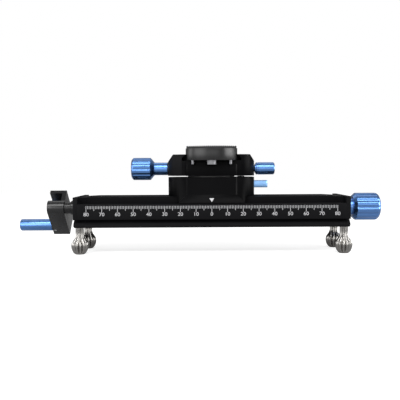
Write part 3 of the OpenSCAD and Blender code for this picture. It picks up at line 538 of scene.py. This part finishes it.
# %% Rubber
dusty_rubber, tree, place = new_finish("dusty_rubber")
grain = add_node(tree, "ShaderNodeTexNoise", {"Scale": 1 / (0.3 * mm), "Detail": 3.0},
                 {"Vector": place}).outputs["Fac"]
dust = add_node(tree, "ShaderNodeTexNoise", {"Scale": 1 / (7 * mm), "Detail": 5.0},
                {"Vector": place}).outputs["Fac"]
tint = add_node(tree, "ShaderNodeMix", {"A": linear("#131314"), "B": linear("#242425")},
                {"Factor": dust}, data_type="RGBA").outputs["Result"]
relief = add_node(tree, "ShaderNodeBump", {"Strength": 0.35, "Distance": 0.02 * mm},
                  {"Height": grain}).outputs["Normal"]
close_finish(tree, {"Roughness": 0.78, "IOR": 1.52, "Specular IOR Level": 0.4},
             {"Base Color": tint, "Normal": relief})

# %% [markdown]
# ## Engraving paint
# The paint of the scale is a matt, slightly blotchy grey. Its grain is under a millimetre, because
# the marks are only a third of a millimetre wide and a larger pattern wouldn't show in them.

# %% Engraving paint
scale_paint, tree, place = new_finish("scale_paint")
cloud = add_node(tree, "ShaderNodeTexNoise", {"Scale": 1 / (0.8 * mm), "Detail": 2.0},
                 {"Vector": place}).outputs["Fac"]
tint = add_node(tree, "ShaderNodeMix", {"A": linear("#A4A4A6"), "B": linear("#BEBEC0")},
                {"Factor": cloud}, data_type="RGBA").outputs["Result"]
close_finish(tree, {"Roughness": 0.6, "Specular IOR Level": 0.3}, {"Base Color": tint})
print("finishes:", len(bpy.data.materials))

# %% [markdown]
# ## Handing a piece over
# A finished piece gets one material, rides on the body that it moves with, and hides the CAD solid
# that it stands for. One function keeps the three together. A second one serves the milled pieces,
# whose CAD solid has the exact form already: there the real work is in the edges.

# %% Dressing a piece
made = {}


def dress(piece, body, slot, material, *nodes):
    """Gives a finished piece its material and body, and hides the solids it replaces. The slot is
    not used.
    """
    let_go()
    piece.data.materials.clear()
    piece.data.materials.append(material)
    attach(piece, body)
    if nodes:
        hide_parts(*nodes)
    made[piece.name] = len(piece.data.polygons)
    print(f"{piece.name}: {len(piece.data.polygons)} faces on {body}")


def dress_milled(node, body, slot, material, edge, segments=2, name=None):
    """Hands over a milled piece: the shape of its node, with edges broken to the given width"""
    piece = from_frame(node, name or node + "_piece")
    soften(piece, edge, segments)
    dress(piece, body, slot, material, node)


# %% [markdown]
# ## The rail
# The rail is one long extrusion: a dovetail foot below, a flat graduated face, ledges and a
# dovetail guide on top, and a channel for the screw. Its milled edges are broken by about 0.25 mm.
# That narrow strip catches the light and is what makes black metal readable at all.

# %% Rail and end blocks
RAIL_EDGE = 0.25 * mm
dress_milled("rail_body", "rail", "black_anodised", rail_black, RAIL_EDGE, name="rail")
for side in ("left", "right"):
    dress_milled(f"end_block_{side}", "rail", "black_anodised", rail_black, RAIL_EDGE,
                 name=f"rail_end_{side}")

# %% [markdown]
# The three tripod sockets in the underside are tapped. Each gets its own ridge: the coarse 16-turn
# thread of the large studio stud, and the 20-turn thread of the common camera screw. In a tapped
# hole the ridge grows inwards: it starts 0.05 mm inside the wall and stands half a millimetre in
# the hole.

# %% Threads of the tripod sockets
SOCKET_START, SOCKET_END = 0.2 * mm, 5.2 * mm
SOCKETS = (("tripod_thread", 0, 4.76, 1.5875), ("tripod_thread_left", -20, 3.18, 1.27),
           ("tripod_thread_right", 20, 3.18, 1.27))
for name, x, radius, pitch in SOCKETS:
    ridge = thread(name, "Z", (x * mm, 0, 0), SOCKET_START, SOCKET_END, (radius + 0.05) * mm,
                   (radius - 0.5) * mm, pitch * mm)
    dress(ridge, "rail", "black_anodised", rail_black)

# %% [markdown]
# ## The scale
# The scale runs from 80 through 0 to 80, in millimetres. On the real rail a laser or an engraving
# cutter opens the black skin and the marks are filled with paint. Here each mark is a very thin
# slab that stands 0.03 mm proud of the face. One mark is modelled for each of the three lengths,
# its front is drawn in a little, as the edge of a filled groove is, and it is copied to its places.

# %% Scale marks
face_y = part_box("rail_body")[0].y
mark_top = 14.1 * mm
PROUD = 0.03 * mm
SCALE_END = 80
MARKS = {"long": (4.2 * mm, 0.32 * mm), "middle": (3.0 * mm, 0.3 * mm),
         "short": (1.9 * mm, 0.3 * mm)}
FRONT_SHARES = (0.8, 1, 0.97)


def mark(kind):
    """One mark at zero: a slab whose front face is drawn in a little"""
    length, width = MARKS[kind]
    middle = (0, face_y, mark_top - length / 2)
    let_go()
    bpy.ops.mesh.primitive_cube_add(size=1, location=middle)
    slab = bpy.context.object
    slab.scale = (width, 2 * PROUD, length)
    settle()
    pick(slab, "FACE", lambda place, normal: normal.y < -0.9)
    bpy.ops.transform.resize(value=FRONT_SHARES, center_override=middle)
    bpy.ops.object.mode_set(mode="OBJECT")
    return slab


marks = []
patterns = {kind: mark(kind) for kind in MARKS}
for step in range(-SCALE_END, SCALE_END + 1):
    kind = "long" if step % 10 == 0 else "middle" if step % 5 == 0 else "short"
    marks.append(twin(patterns[kind], (step * mm, 0, 0)))
for pattern in patterns.values():
    bpy.data.objects.remove(pattern)
dress(join(marks, "scale_marks"), "rail", "black_anodised", scale_paint)

# %% [markdown]
# The numerals are plain, wide sans-serif figures, 2.2 mm tall, centred under every tenth mark.
# Blender's own text object draws them. It is turned into a mesh before its place is applied, so its
# figures become solid slabs like the marks.

# %% Numerals
NUMERAL_SIZE = 3.15 * mm
NUMERAL_WIDENING = 1.1
NUMERAL_LINE = 7.7 * mm

numerals = []
for step in range(-SCALE_END, SCALE_END + 1, 10):
    let_go()
    bpy.ops.object.text_add(location=(0, 0, 0))
    figure = bpy.context.object
    figure.data.body = str(abs(step))
    figure.data.size = NUMERAL_SIZE
    figure.data.align_x = "CENTER"
    figure.data.extrude = PROUD
    bpy.ops.object.convert(target="MESH")
    figure = bpy.context.object
    figure.rotation_euler = (math.pi / 2, 0, 0)
    figure.scale = (NUMERAL_WIDENING, 1, 1)
    figure.location = (step * mm, face_y, NUMERAL_LINE)
    settle()
    numerals.append(figure)
scale_numerals = join(numerals, "scale_numerals")
close_shell(scale_numerals)
dress(scale_numerals, "rail", "black_anodised", scale_paint)

# %% [markdown]
# ## The feet
# Each foot is a stainless stud, turned with a waist and a bulb, and then fluted with a ball cutter
# so that fingers can screw it in. Twelve flutes run from the stem over the bulb, where they are
# deepest, and end in its rounded tip. With 96 corners in each ring a flute has eight columns, of
# which all but the outermost are drawn in. The foot is turned once and copied to the other three
# places.

# %% Feet
FOOT_SIDES = 96
FOOT_SMOOTH_ANGLE = 40  # degrees
STEM_R = 2.7
FOOT_PROFILE = [(0, 2.7), (0.1, 2.95), (0.4, 3.4), (0.91, 3.94), (1.5, 4.36), (2.2, 4.72),
                (3.0, 5.05), (3.8, 5.26), (4.7, 5.42), (5.64, 5.48), (6.4, 5.42), (7.1, 5.31),
                (7.8, 4.99), (8.4, 4.59), (9.0, 4.16), (9.6, 3.73), (10.2, 3.36), (10.7, 3.12),
                (11.3, 2.92), (12.0, 2.7), (14.5, 2.68), (17.38, 2.68)]


def foot_depth(height, radius):
    """The share of the radius that a flute takes: less on the stem, and ever less at the tip"""
    on_bulb, on_stem, more_per_mm, less_per_mm = 0.24, 0.2, 0.02, 0.22 / 1.5
    return min(on_bulb, on_stem + more_per_mm * (radius - STEM_R), less_per_mm * height)


low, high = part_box("foot_front_left")
foot_centre = ((low.x + high.x) / 2, (low.y + high.y) / 2, 0)
foot = turned("foot_front_left_piece", "Z", foot_centre, stations(low.z, FOOT_PROFILE), FOOT_SIDES)
for height, radius in FOOT_PROFILE:
    flute(foot, "Z", foot_centre, low.z + (height - 0.02) * mm, low.z + (height + 0.02) * mm,
          FOOT_SIDES, [1 - foot_depth(height, radius) * share for share in (1, 0.7, 0.34, 0.08)])
shade(foot, FOOT_SMOOTH_ANGLE)
feet = {"foot_front_left": foot}
for node in ("foot_front_right", "foot_rear_left", "foot_rear_right"):
    other_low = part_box(node)[0]
    feet[node] = twin(foot, (other_low.x - low.x, other_low.y - low.y, 0))
    feet[node].name = node + "_piece"
for node, piece in feet.items():
    dress(piece, "rail", "polished_steel", polished_steel, node)

# %% [markdown]
# ## The lead screw
# The screw is the heart of the tool. It has a rolled trapezoidal thread with a pitch of 1.25 mm, so
# one turn of the knob moves the carriage 1.25 mm. The core and both journals are turned, the ridge
# is swept along its helix, and the two shells are joined.

# %% Lead screw
THREAD_END = 80.1
CORE_R, CREST_R, SCREW_PITCH = 3.35, 4, 1.25
low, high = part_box("lead_screw")
knob_low, knob_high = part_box("drive_knob")
screw_axis = (0, 0, (knob_low.z + knob_high.z) / 2)
core = turned("screw_core", "X", screw_axis, [
    *stations(low.x, [(0, 2.2), (0.3, 2.5)]),
    *stations(0, [(-THREAD_END, 2.5), (-THREAD_END + 0.01, CORE_R),
                  (THREAD_END - 0.01, CORE_R), (THREAD_END, 2.5)]),
    *stations(high.x, [(-0.3, 2.5), (0, 2.2)])], sides=48)
ridge = thread("screw_ridge", "X", screw_axis, -THREAD_END * mm, THREAD_END * mm, CORE_R * mm,
               CREST_R * mm, SCREW_PITCH * mm, 24)
dress(join([core, ridge], "lead_screw_piece"), "drive", "ground_steel", ground_steel, "lead_screw")

# %% [markdown]
# Between the two nuts sits a coil spring that presses them apart and so takes up the backlash. The
# frame holds its envelope as a plain sleeve. The real coil is a round wire, swept along a helix
# inside it.

# %% Backlash spring
WIRE_R = 0.3 * mm
WIRE_SIDES = 10
COILS = 7
low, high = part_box("backlash_spring")
coil_r = (high.z - low.z) / 2 - WIRE_R
let_go()
bpy.ops.mesh.primitive_circle_add(vertices=WIRE_SIDES, radius=WIRE_R, fill_type="NGON",
                                  location=(coil_r, 0, 0), rotation=(math.pi / 2, 0, 0))
spring = bpy.context.object
spring.name = "backlash_spring_piece"
settle()
rise = (high.x - low.x - 2 * WIRE_R) / COILS
apply_modifier(spring, "SCREW", axis="Z", screw_offset=rise, iterations=COILS, steps=24,
               render_steps=24, use_merge_vertices=False)
close_shell(spring, hole_sides=WIRE_SIDES)
spring.rotation_euler = TURN_TO["X"]
spring.location = (low.x + WIRE_R, 0, screw_axis[2])
settle()
bpy.ops.object.shade_smooth()
dress(spring, "carriage", "ground_steel", ground_steel, "backlash_spring")

# %% [markdown]
# ## The knobs
# Both fluted knobs are turned from bar, chamfered, and given twelve shallow flutes with a round
# cutter. Between two flutes stays a smooth land, and it is the lands that carry the long
# highlights. The flutes are shallower where they run out, at both ends. The drive knob's outer end
# is domed, and a grub screw holds its boss on the journal.

# %% Drive knob
KNOB_SIDES = 192
KNOB_SMOOTH_ANGLE = 22  # degrees
BOSS_LENGTH = 4.9 * mm
low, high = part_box("drive_knob")
start, end = low.x + BOSS_LENGTH, high.x
drive_knob = turned("drive_knob_piece", "X", screw_axis, [
    *stations(low.x, [(0, 5.2), (0.3, 5.5)]),
    *stations(start, [(-0.01, 5.5), (0, 7.2), (1.9, 9), (2.2, 9.1), (2.6, 9.1)]),
    *stations(end, [(-3.4, 9.1), (-3, 9.1), (-2.4, 8.98), (-1.6, 8.6), (-0.9, 7.95), (-0.4, 7.15),
                    (-0.1, 6.2), (0, 5.2), (0, 2)])], sides=KNOB_SIDES)
flute(drive_knob, "X", screw_axis, start + 2.1 * mm, end - 2.5 * mm, KNOB_SIDES,
      (0.945, 0.948, 0.957, 0.972, 0.992))
flute(drive_knob, "X", screw_axis, start + 1.8 * mm, start + 2.1 * mm, KNOB_SIDES,
      (0.975, 0.978, 0.985, 0.995))
flute(drive_knob, "X", screw_axis, end - 2.5 * mm, end - 1.2 * mm, KNOB_SIDES,
      (0.97, 0.972, 0.98, 0.99))
grub_hole = turned("grub_hole", "Z", (low.x + BOSS_LENGTH / 2, 0, 0),
                   stations(screw_axis[2], [(2.6, 1.27), (7, 1.27)]), sides=24)
cut(drive_knob, grub_hole)
shade(drive_knob, KNOB_SMOOTH_ANGLE)
dress(drive_knob, "drive", "blue_anodised", anodised_blue, "drive_knob")

# %% [markdown]
# The clamp knob is smaller and has a long neck that reaches the jaw. It has flat chamfered ends and
# the same twelve flutes, which run out in both chamfers.

# %% Clamp knob
HEAD_LENGTH = 13.8 * mm
low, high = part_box("clamp_knob")
clamp_axis = (0, 0, (low.z + high.z) / 2)
start, end = low.x, low.x + HEAD_LENGTH
clamp_knob = turned("clamp_knob_piece", "X", clamp_axis, [
    *stations(start, [(0, 2), (0, 5.85), (0.25, 6.35), (1.2, 7.33), (1.45, 7.45), (1.9, 7.45)]),
    *stations(end, [(-1.9, 7.45), (-1.45, 7.45), (-1.2, 7.33), (0, 5.95), (1.2, 4.4), (1.6, 4.2)]),
    *stations(high.x, [(-0.3, 4.2), (0, 3.9)])], sides=KNOB_SIDES)
flute(clamp_knob, "X", clamp_axis, start + 1.4 * mm, end - 1.4 * mm, KNOB_SIDES,
      (0.95, 0.953, 0.962, 0.976, 0.993))
for place in (start + 1.1 * mm, end - 1.4 * mm):
    flute(clamp_knob, "X", clamp_axis, place, place + 0.3 * mm, KNOB_SIDES,
          (0.97, 0.974, 0.982, 0.993))
shade(clamp_knob, KNOB_SMOOTH_ANGLE)
dress(clamp_knob, "clamp_knob", "blue_anodised", anodised_blue, "clamp_knob")

# %% [markdown]
# The knob of the panning lock is a plain barrel without flutes. A narrow groove near its root and a
# rounded outer edge give it the two dark lines that the photograph shows.

# %% Panning lock knob
low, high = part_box("pan_lock_knob")
pan_lock_knob = turned("pan_lock_knob_piece", "X", clamp_axis, [
    *stations(low.x, [(0, 2.7), (0.15, 3), (0.69, 3), (0.7, 3.6), (1, 4.1), (1.5, 4.1), (1.6, 3.8),
                      (2, 3.8), (2.1, 4.1)]),
    *stations(high.x, [(-1.1, 4.1), (-0.6, 3.95), (-0.2, 3.6), (0, 3), (0, 1)])], sides=64)
dress(pan_lock_knob, "pan_lock_knob", "blue_anodised", anodised_blue, "pan_lock_knob")

# %% [markdown]
# ## The crank
# The crank is milled from a block. Its lower cheek carries the grip, its upper cheek ends in a
# hooked nose, and an open slot between them saves weight. The CAD solid gives the form. Here its
# edges are broken much more generously, by nearly a millimetre, because fingers pass over them.

# %% Crank
dress_milled("crank_arm", "drive", "black_anodised", crank_black, 0.9 * mm, 4)

# %% [markdown]
# The collar fills the gap between the rail's end and the crank. It is turned with two bands and a
# groove between them. The grip is a plain blue barrel with a domed end and a bore for its spindle.

# %% Collar and grip
low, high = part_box("crank_collar")
collar = turned("crank_collar_piece", "X", screw_axis, [
    *stations(low.x, [(0, 3.7), (0.2, 3.9)]),
    *stations(high.x, [(-4.4, 3.9), (-4.39, 4.5), (-4.1, 4.8), (-2.4, 4.8), (-2.2, 4.5),
                       (-1.8, 4.5), (-1.6, 4.8), (-0.3, 4.8), (0, 4.5)])], sides=64)
dress(collar, "drive", "black_anodised", satin_black, "crank_collar")

low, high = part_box("crank_grip")
grip_axis = (0, (low.y + high.y) / 2, (low.z + high.z) / 2)
grip = turned("crank_grip_piece", "X", grip_axis, [
    *stations(low.x, [(0, 1), (0, 3.1), (0.2, 3.6), (0.5, 3.9), (1, 4.05)]),
    *stations(high.x, [(-0.4, 4.05), (0, 3.7), (0, 2.06)]),
    *stations(low.x, [(0.9, 2.06)])], sides=64)
dress(grip, "grip", "blue_anodised", anodised_blue, "crank_grip")

# %% [markdown]
# ## Carriage and clamp
# The carriage straddles the guide, and the clamp turns on it. Both are milled blocks with round
# upright corners, and a flat panel stands forward in the middle. The jaw is parted from the clamp
# by a saw cut. It catches more light, and the paler black of the rail is put on it as painted
# light, standing in for the light that its bevels catch.

# %% Blocks
BLOCK_EDGE = 0.3 * mm
# The jaw's paler rail black is painted light: it stands in for the light that its bevels catch.
for node, body, black in (("carriage", "carriage", block_black),
                          ("clamp_body", "clamp", block_black), ("moving_jaw", "jaw", rail_black)):
    dress_milled(node, body, "black_anodised", black, BLOCK_EDGE)

# %% [markdown]
# The pointer is a small triangle of paint on the apron, right above the scale. It is a flat block
# whose lower end is drawn together to a point and whose upper end is pushed back along the apron's
# slope. The apron leans back by 2.4 mm on its way up.

# %% Pointer
POINTER_LOW, POINTER_TOP = 16.4 * mm, 18.7 * mm
POINTER_WIDTH = 3.1 * mm
APRON_LOW, APRON_TOP, APRON_LEAN = 15.5 * mm, 20.8 * mm, 2.4 * mm


def apron_y(z):
    """Where the apron's slope stands at a height"""
    return face_y + (z - APRON_LOW) / (APRON_TOP - APRON_LOW) * APRON_LEAN


let_go()
bpy.ops.mesh.primitive_cube_add(size=1, location=(0, apron_y(POINTER_LOW),
                                                  (POINTER_LOW + POINTER_TOP) / 2))
pointer = bpy.context.object
pointer.name = "pointer"
pointer.scale = (POINTER_WIDTH, 2 * PROUD, POINTER_TOP - POINTER_LOW)
settle()
pick(pointer, "FACE", lambda place, normal: normal.z > 0.9)
bpy.ops.transform.translate(value=(0, apron_y(POINTER_TOP) - apron_y(POINTER_LOW), 0))
pick(pointer, "FACE", lambda place, normal: normal.z < -0.9)
bpy.ops.transform.resize(value=(0.04, 1, 1),
                         center_override=(0, apron_y(POINTER_LOW), POINTER_LOW))
bpy.ops.object.mode_set(mode="OBJECT")
dress(pointer, "carriage", "black_anodised", scale_paint)

# %% [markdown]
# The lever locks the carriage. It is a flat blue bar with a round hub, and its edges are broken by
# 0.3 mm in three steps, because a finger pushes them.

# %% Lever
# The lever's paler blue is a painted highlight.
dress_milled("lock_lever", "lock_lever", "blue_anodised", lever_blue_painted_highlight, 0.3 * mm, 3)

# %% [markdown]
# ## The plate
# The quick-release plate has a round end, dovetail sides and a slot for the camera screw. A ribbed
# rubber pad lies on it, so that the camera doesn't twist. The pad's ribs are fine, so their edges
# are broken by only 0.12 mm.

# %% Plate and pad
dress_milled("plate", "plate", "black_anodised", satin_black, BLOCK_EDGE)
dress_milled("plate_pad", "plate", "ribbed_rubber", dusty_rubber, 0.12 * mm)

# %% [markdown]
# The camera screw is captive in the plate's slot. Its flat head is turned in one piece with the
# core, and the 20-turn thread that every camera takes is swept round it.

# %% Camera screw
low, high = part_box("camera_screw")
camera_axis = (0, 0, 0)
head = turned("camera_screw_head", "Z", camera_axis, [
    *stations(low.z, [(0, 5.7), (0.3, 6), (1.3, 6), (1.6, 5.7), (1.6, 2.65)]),
    *stations(high.z, [(-0.4, 2.65), (0, 2.3)])], sides=48)
ridge = thread("camera_screw_ridge", "Z", camera_axis, low.z + 1.9 * mm, high.z - 0.2 * mm,
               2.65 * mm, 3.17 * mm, 1.27 * mm)
dress(join([head, ridge], "camera_screw_piece"), "camera_screw", "ground_steel", ground_steel,
      "camera_screw")

# %% [markdown]
# ## Small parts that stay as the frame has them
# Washers, nuts, screws and bushings are plain machined solids, and the CAD model already has their
# true shape. They only need the finish of what they are made of. The stop screw and the stop pins
# share the record's slot of the ground steel, but are plated.

# %% Finishes of the carried parts
FINISHES = {"black_anodised": rail_black, "blue_anodised": anodised_blue,
            "polished_steel": polished_steel, "ground_steel": ground_steel,
            "black_steel": black_steel, "bronze": machined_brass, "nylon": dyed_nylon,
            "ribbed_rubber": dusty_rubber}
slots = {part["node"]: part["material_slot"] for part in frame["record"]["subparts"]}
for node, solid in frame["nodes"].items():
    finish = plated_steel if node.startswith("plate_stop") else FINISHES[slots[node]]
    solid.data.materials.clear()
    solid.data.materials.append(finish)
print("carried parts:", len(frame["nodes"]))

# %% [markdown]
# ## The studio
# A product photograph on white has a pale floor, a pale backdrop, a broad soft light from the front
# and above, and a weaker one from each side. Here the floor is one plane, and the white room behind
# it is the backdrop. Black metal needs dim surroundings to stay black, while the paper has to look
# white, so both floor and room are brighter for the camera's own rays than for the light that the
# metal mirrors.

# %% Floor
FLOOR_SIZE = (4, 2.9, 1)
FLOOR_MIDDLE_Y = -0.55
floor_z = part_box("foot_front_left")[0].z
let_go()
bpy.ops.mesh.primitive_plane_add(size=1, location=(0, 0, floor_z))
floor = bpy.context.object
floor.name = "studio_floor"
floor.scale = FLOOR_SIZE
floor.location.y = FLOOR_MIDDLE_Y
settle()
studio_white, tree, place = new_finish("studio_white")
cloud = add_node(tree, "ShaderNodeTexNoise", {"Scale": 3.0}, {"Vector": place}).outputs["Fac"]
tint = add_node(tree, "ShaderNodeMix", {"A": linear("#BCBCBC"), "B": linear("#C2C2C2")},
                {"Factor": cloud}, data_type="RGBA").outputs["Result"]
sight = add_node(tree, "ShaderNodeLightPath").outputs["Is Camera Ray"]
seen = add_node(tree, "ShaderNodeBsdfPrincipled", {"Roughness": 0.9, "Specular IOR Level": 0.0,
                "Emission Color": (1, 1, 1, 1), "Emission Strength": 0.7}, {"Base Color": tint})
felt = add_node(tree, "ShaderNodeBsdfPrincipled", {"Roughness": 0.9, "Specular IOR Level": 0.0,
                "Base Color": linear("#B4B4B4")})
both = add_node(tree, "ShaderNodeMixShader",
                links={0: sight, 1: felt.outputs["BSDF"], 2: seen.outputs["BSDF"]})
add_node(tree, "ShaderNodeOutputMaterial", links={"Surface": both.outputs["Shader"]})
floor.data.materials.append(studio_white)
floor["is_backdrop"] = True

# %% [markdown]
# Black metal shows only what it mirrors. A low, wide panel in front gives the flat faces their
# faint grey and the blue pieces their broad highlight, a strip above it draws the thin line on
# every cylinder, two boxes at the sides light the round end of the plate, and two weak, narrow ones
# straight from the left and the right draw the upright edges of the front panel.

# %% Lights
def soft_light(name, place, size, watts, aim=(0, 0, 0.02)):
    """A large lamp that looks at a point, which is the middle of the rail if none is given"""
    let_go()
    bpy.ops.object.light_add(type="AREA", location=place)
    lamp = bpy.context.object
    lamp.name = name
    lamp.data.shape = "RECTANGLE"
    lamp.data.size, lamp.data.size_y = size
    lamp.data.energy = watts
    lamp.rotation_mode = "QUATERNION"
    lamp.rotation_quaternion = (Vector(aim) - Vector(place)).to_track_quat("-Z", "Y")


soft_light("front_panel", (0, -1.4, 0.12), (1.6, 0.7), 6)
soft_light("front_strip", (0, -0.72, 0.8), (1.4, 0.38), 11)
soft_light("top_softbox", (0, 0.5, 0.9), (1.4, 0.5), 2.6, aim=(0, 0, 0))
soft_light("left_softbox", (-0.68, -0.6, 0.2), (0.7, 0.45), 3.6)
soft_light("right_softbox", (0.85, -0.3, 0.2), (0.5, 0.45), 4.5)
soft_light("left_edge_light", (-0.9, 0, 0.15), (0.3, 0.5), 1.5)
soft_light("right_edge_light", (0.9, 0, 0.15), (0.3, 0.5), 1.5)
print("lights:", len(bpy.data.lights))

# %% [markdown]
# The room's own light is an even white, a third as strong as what the camera sees of it.

# %% Room
world = bpy.context.scene.world or bpy.data.worlds.new("studio")
bpy.context.scene.world = world
world.use_nodes = True
tree = world.node_tree
tree.nodes.clear()
sight = add_node(tree, "ShaderNodeLightPath").outputs["Is Camera Ray"]
room = add_node(tree, "ShaderNodeBackground", {"Color": (1, 1, 1, 1), "Strength": 0.32})
paper = add_node(tree, "ShaderNodeBackground", {"Color": (1, 1, 1, 1), "Strength": 1.0})
both = add_node(tree, "ShaderNodeMixShader",
                links={0: sight, 1: room.outputs["Background"], 2: paper.outputs["Background"]})
add_node(tree, "ShaderNodeOutputWorld", links={"Surface": both.outputs["Shader"]})
bpy.context.scene.view_settings.view_transform = "Standard"

# %% [markdown]
# ## The camera
# The engraved scale gives the photograph's geometry: 160 mm cover 252.5 of its 400 pixels. The
# ledge stands between the deck and the scale, which tells how high the lens was, and the feet in
# front and at the back differ in size, which tells how far away it was. One millimetre at one
# millimetre from the lens would cover 568 pixels, and that is the focal length in pixels.

# %% Camera
LENS_PLACE = (-0.0075, -0.380, 0.0378)
FOCAL_PIXELS, FRAME_PIXELS = 568, 400
SENSOR_MM = 36
TILT_DOWN, ROLL = 3.2, -0.3

let_go()
bpy.ops.object.camera_add(location=LENS_PLACE)
camera = bpy.context.object
camera.name = "studio_camera"
camera.data.sensor_width = SENSOR_MM
camera.data.lens = FOCAL_PIXELS / FRAME_PIXELS * SENSOR_MM
camera.rotation_mode = "QUATERNION"
tilt = Matrix.Rotation(math.radians(90 - TILT_DOWN), 3, "X")
roll = Matrix.Rotation(math.radians(ROLL), 3, "Z")
camera.rotation_quaternion = (tilt @ roll).to_quaternion()
camera.data.clip_start, camera.data.clip_end = 0.01, 50
bpy.context.scene.camera = camera
print("focal length in mm:", round(camera.data.lens, 2))

# %% [markdown]
# ## Hand-over
# The box of the dressed model is printed in millimetres, together with the number of finished
# pieces.

# %% Hand-over
low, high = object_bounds()
print("visual box in mm:", [round(v / mm, 2) for v in (*low, *high)], "pieces:", len(made))
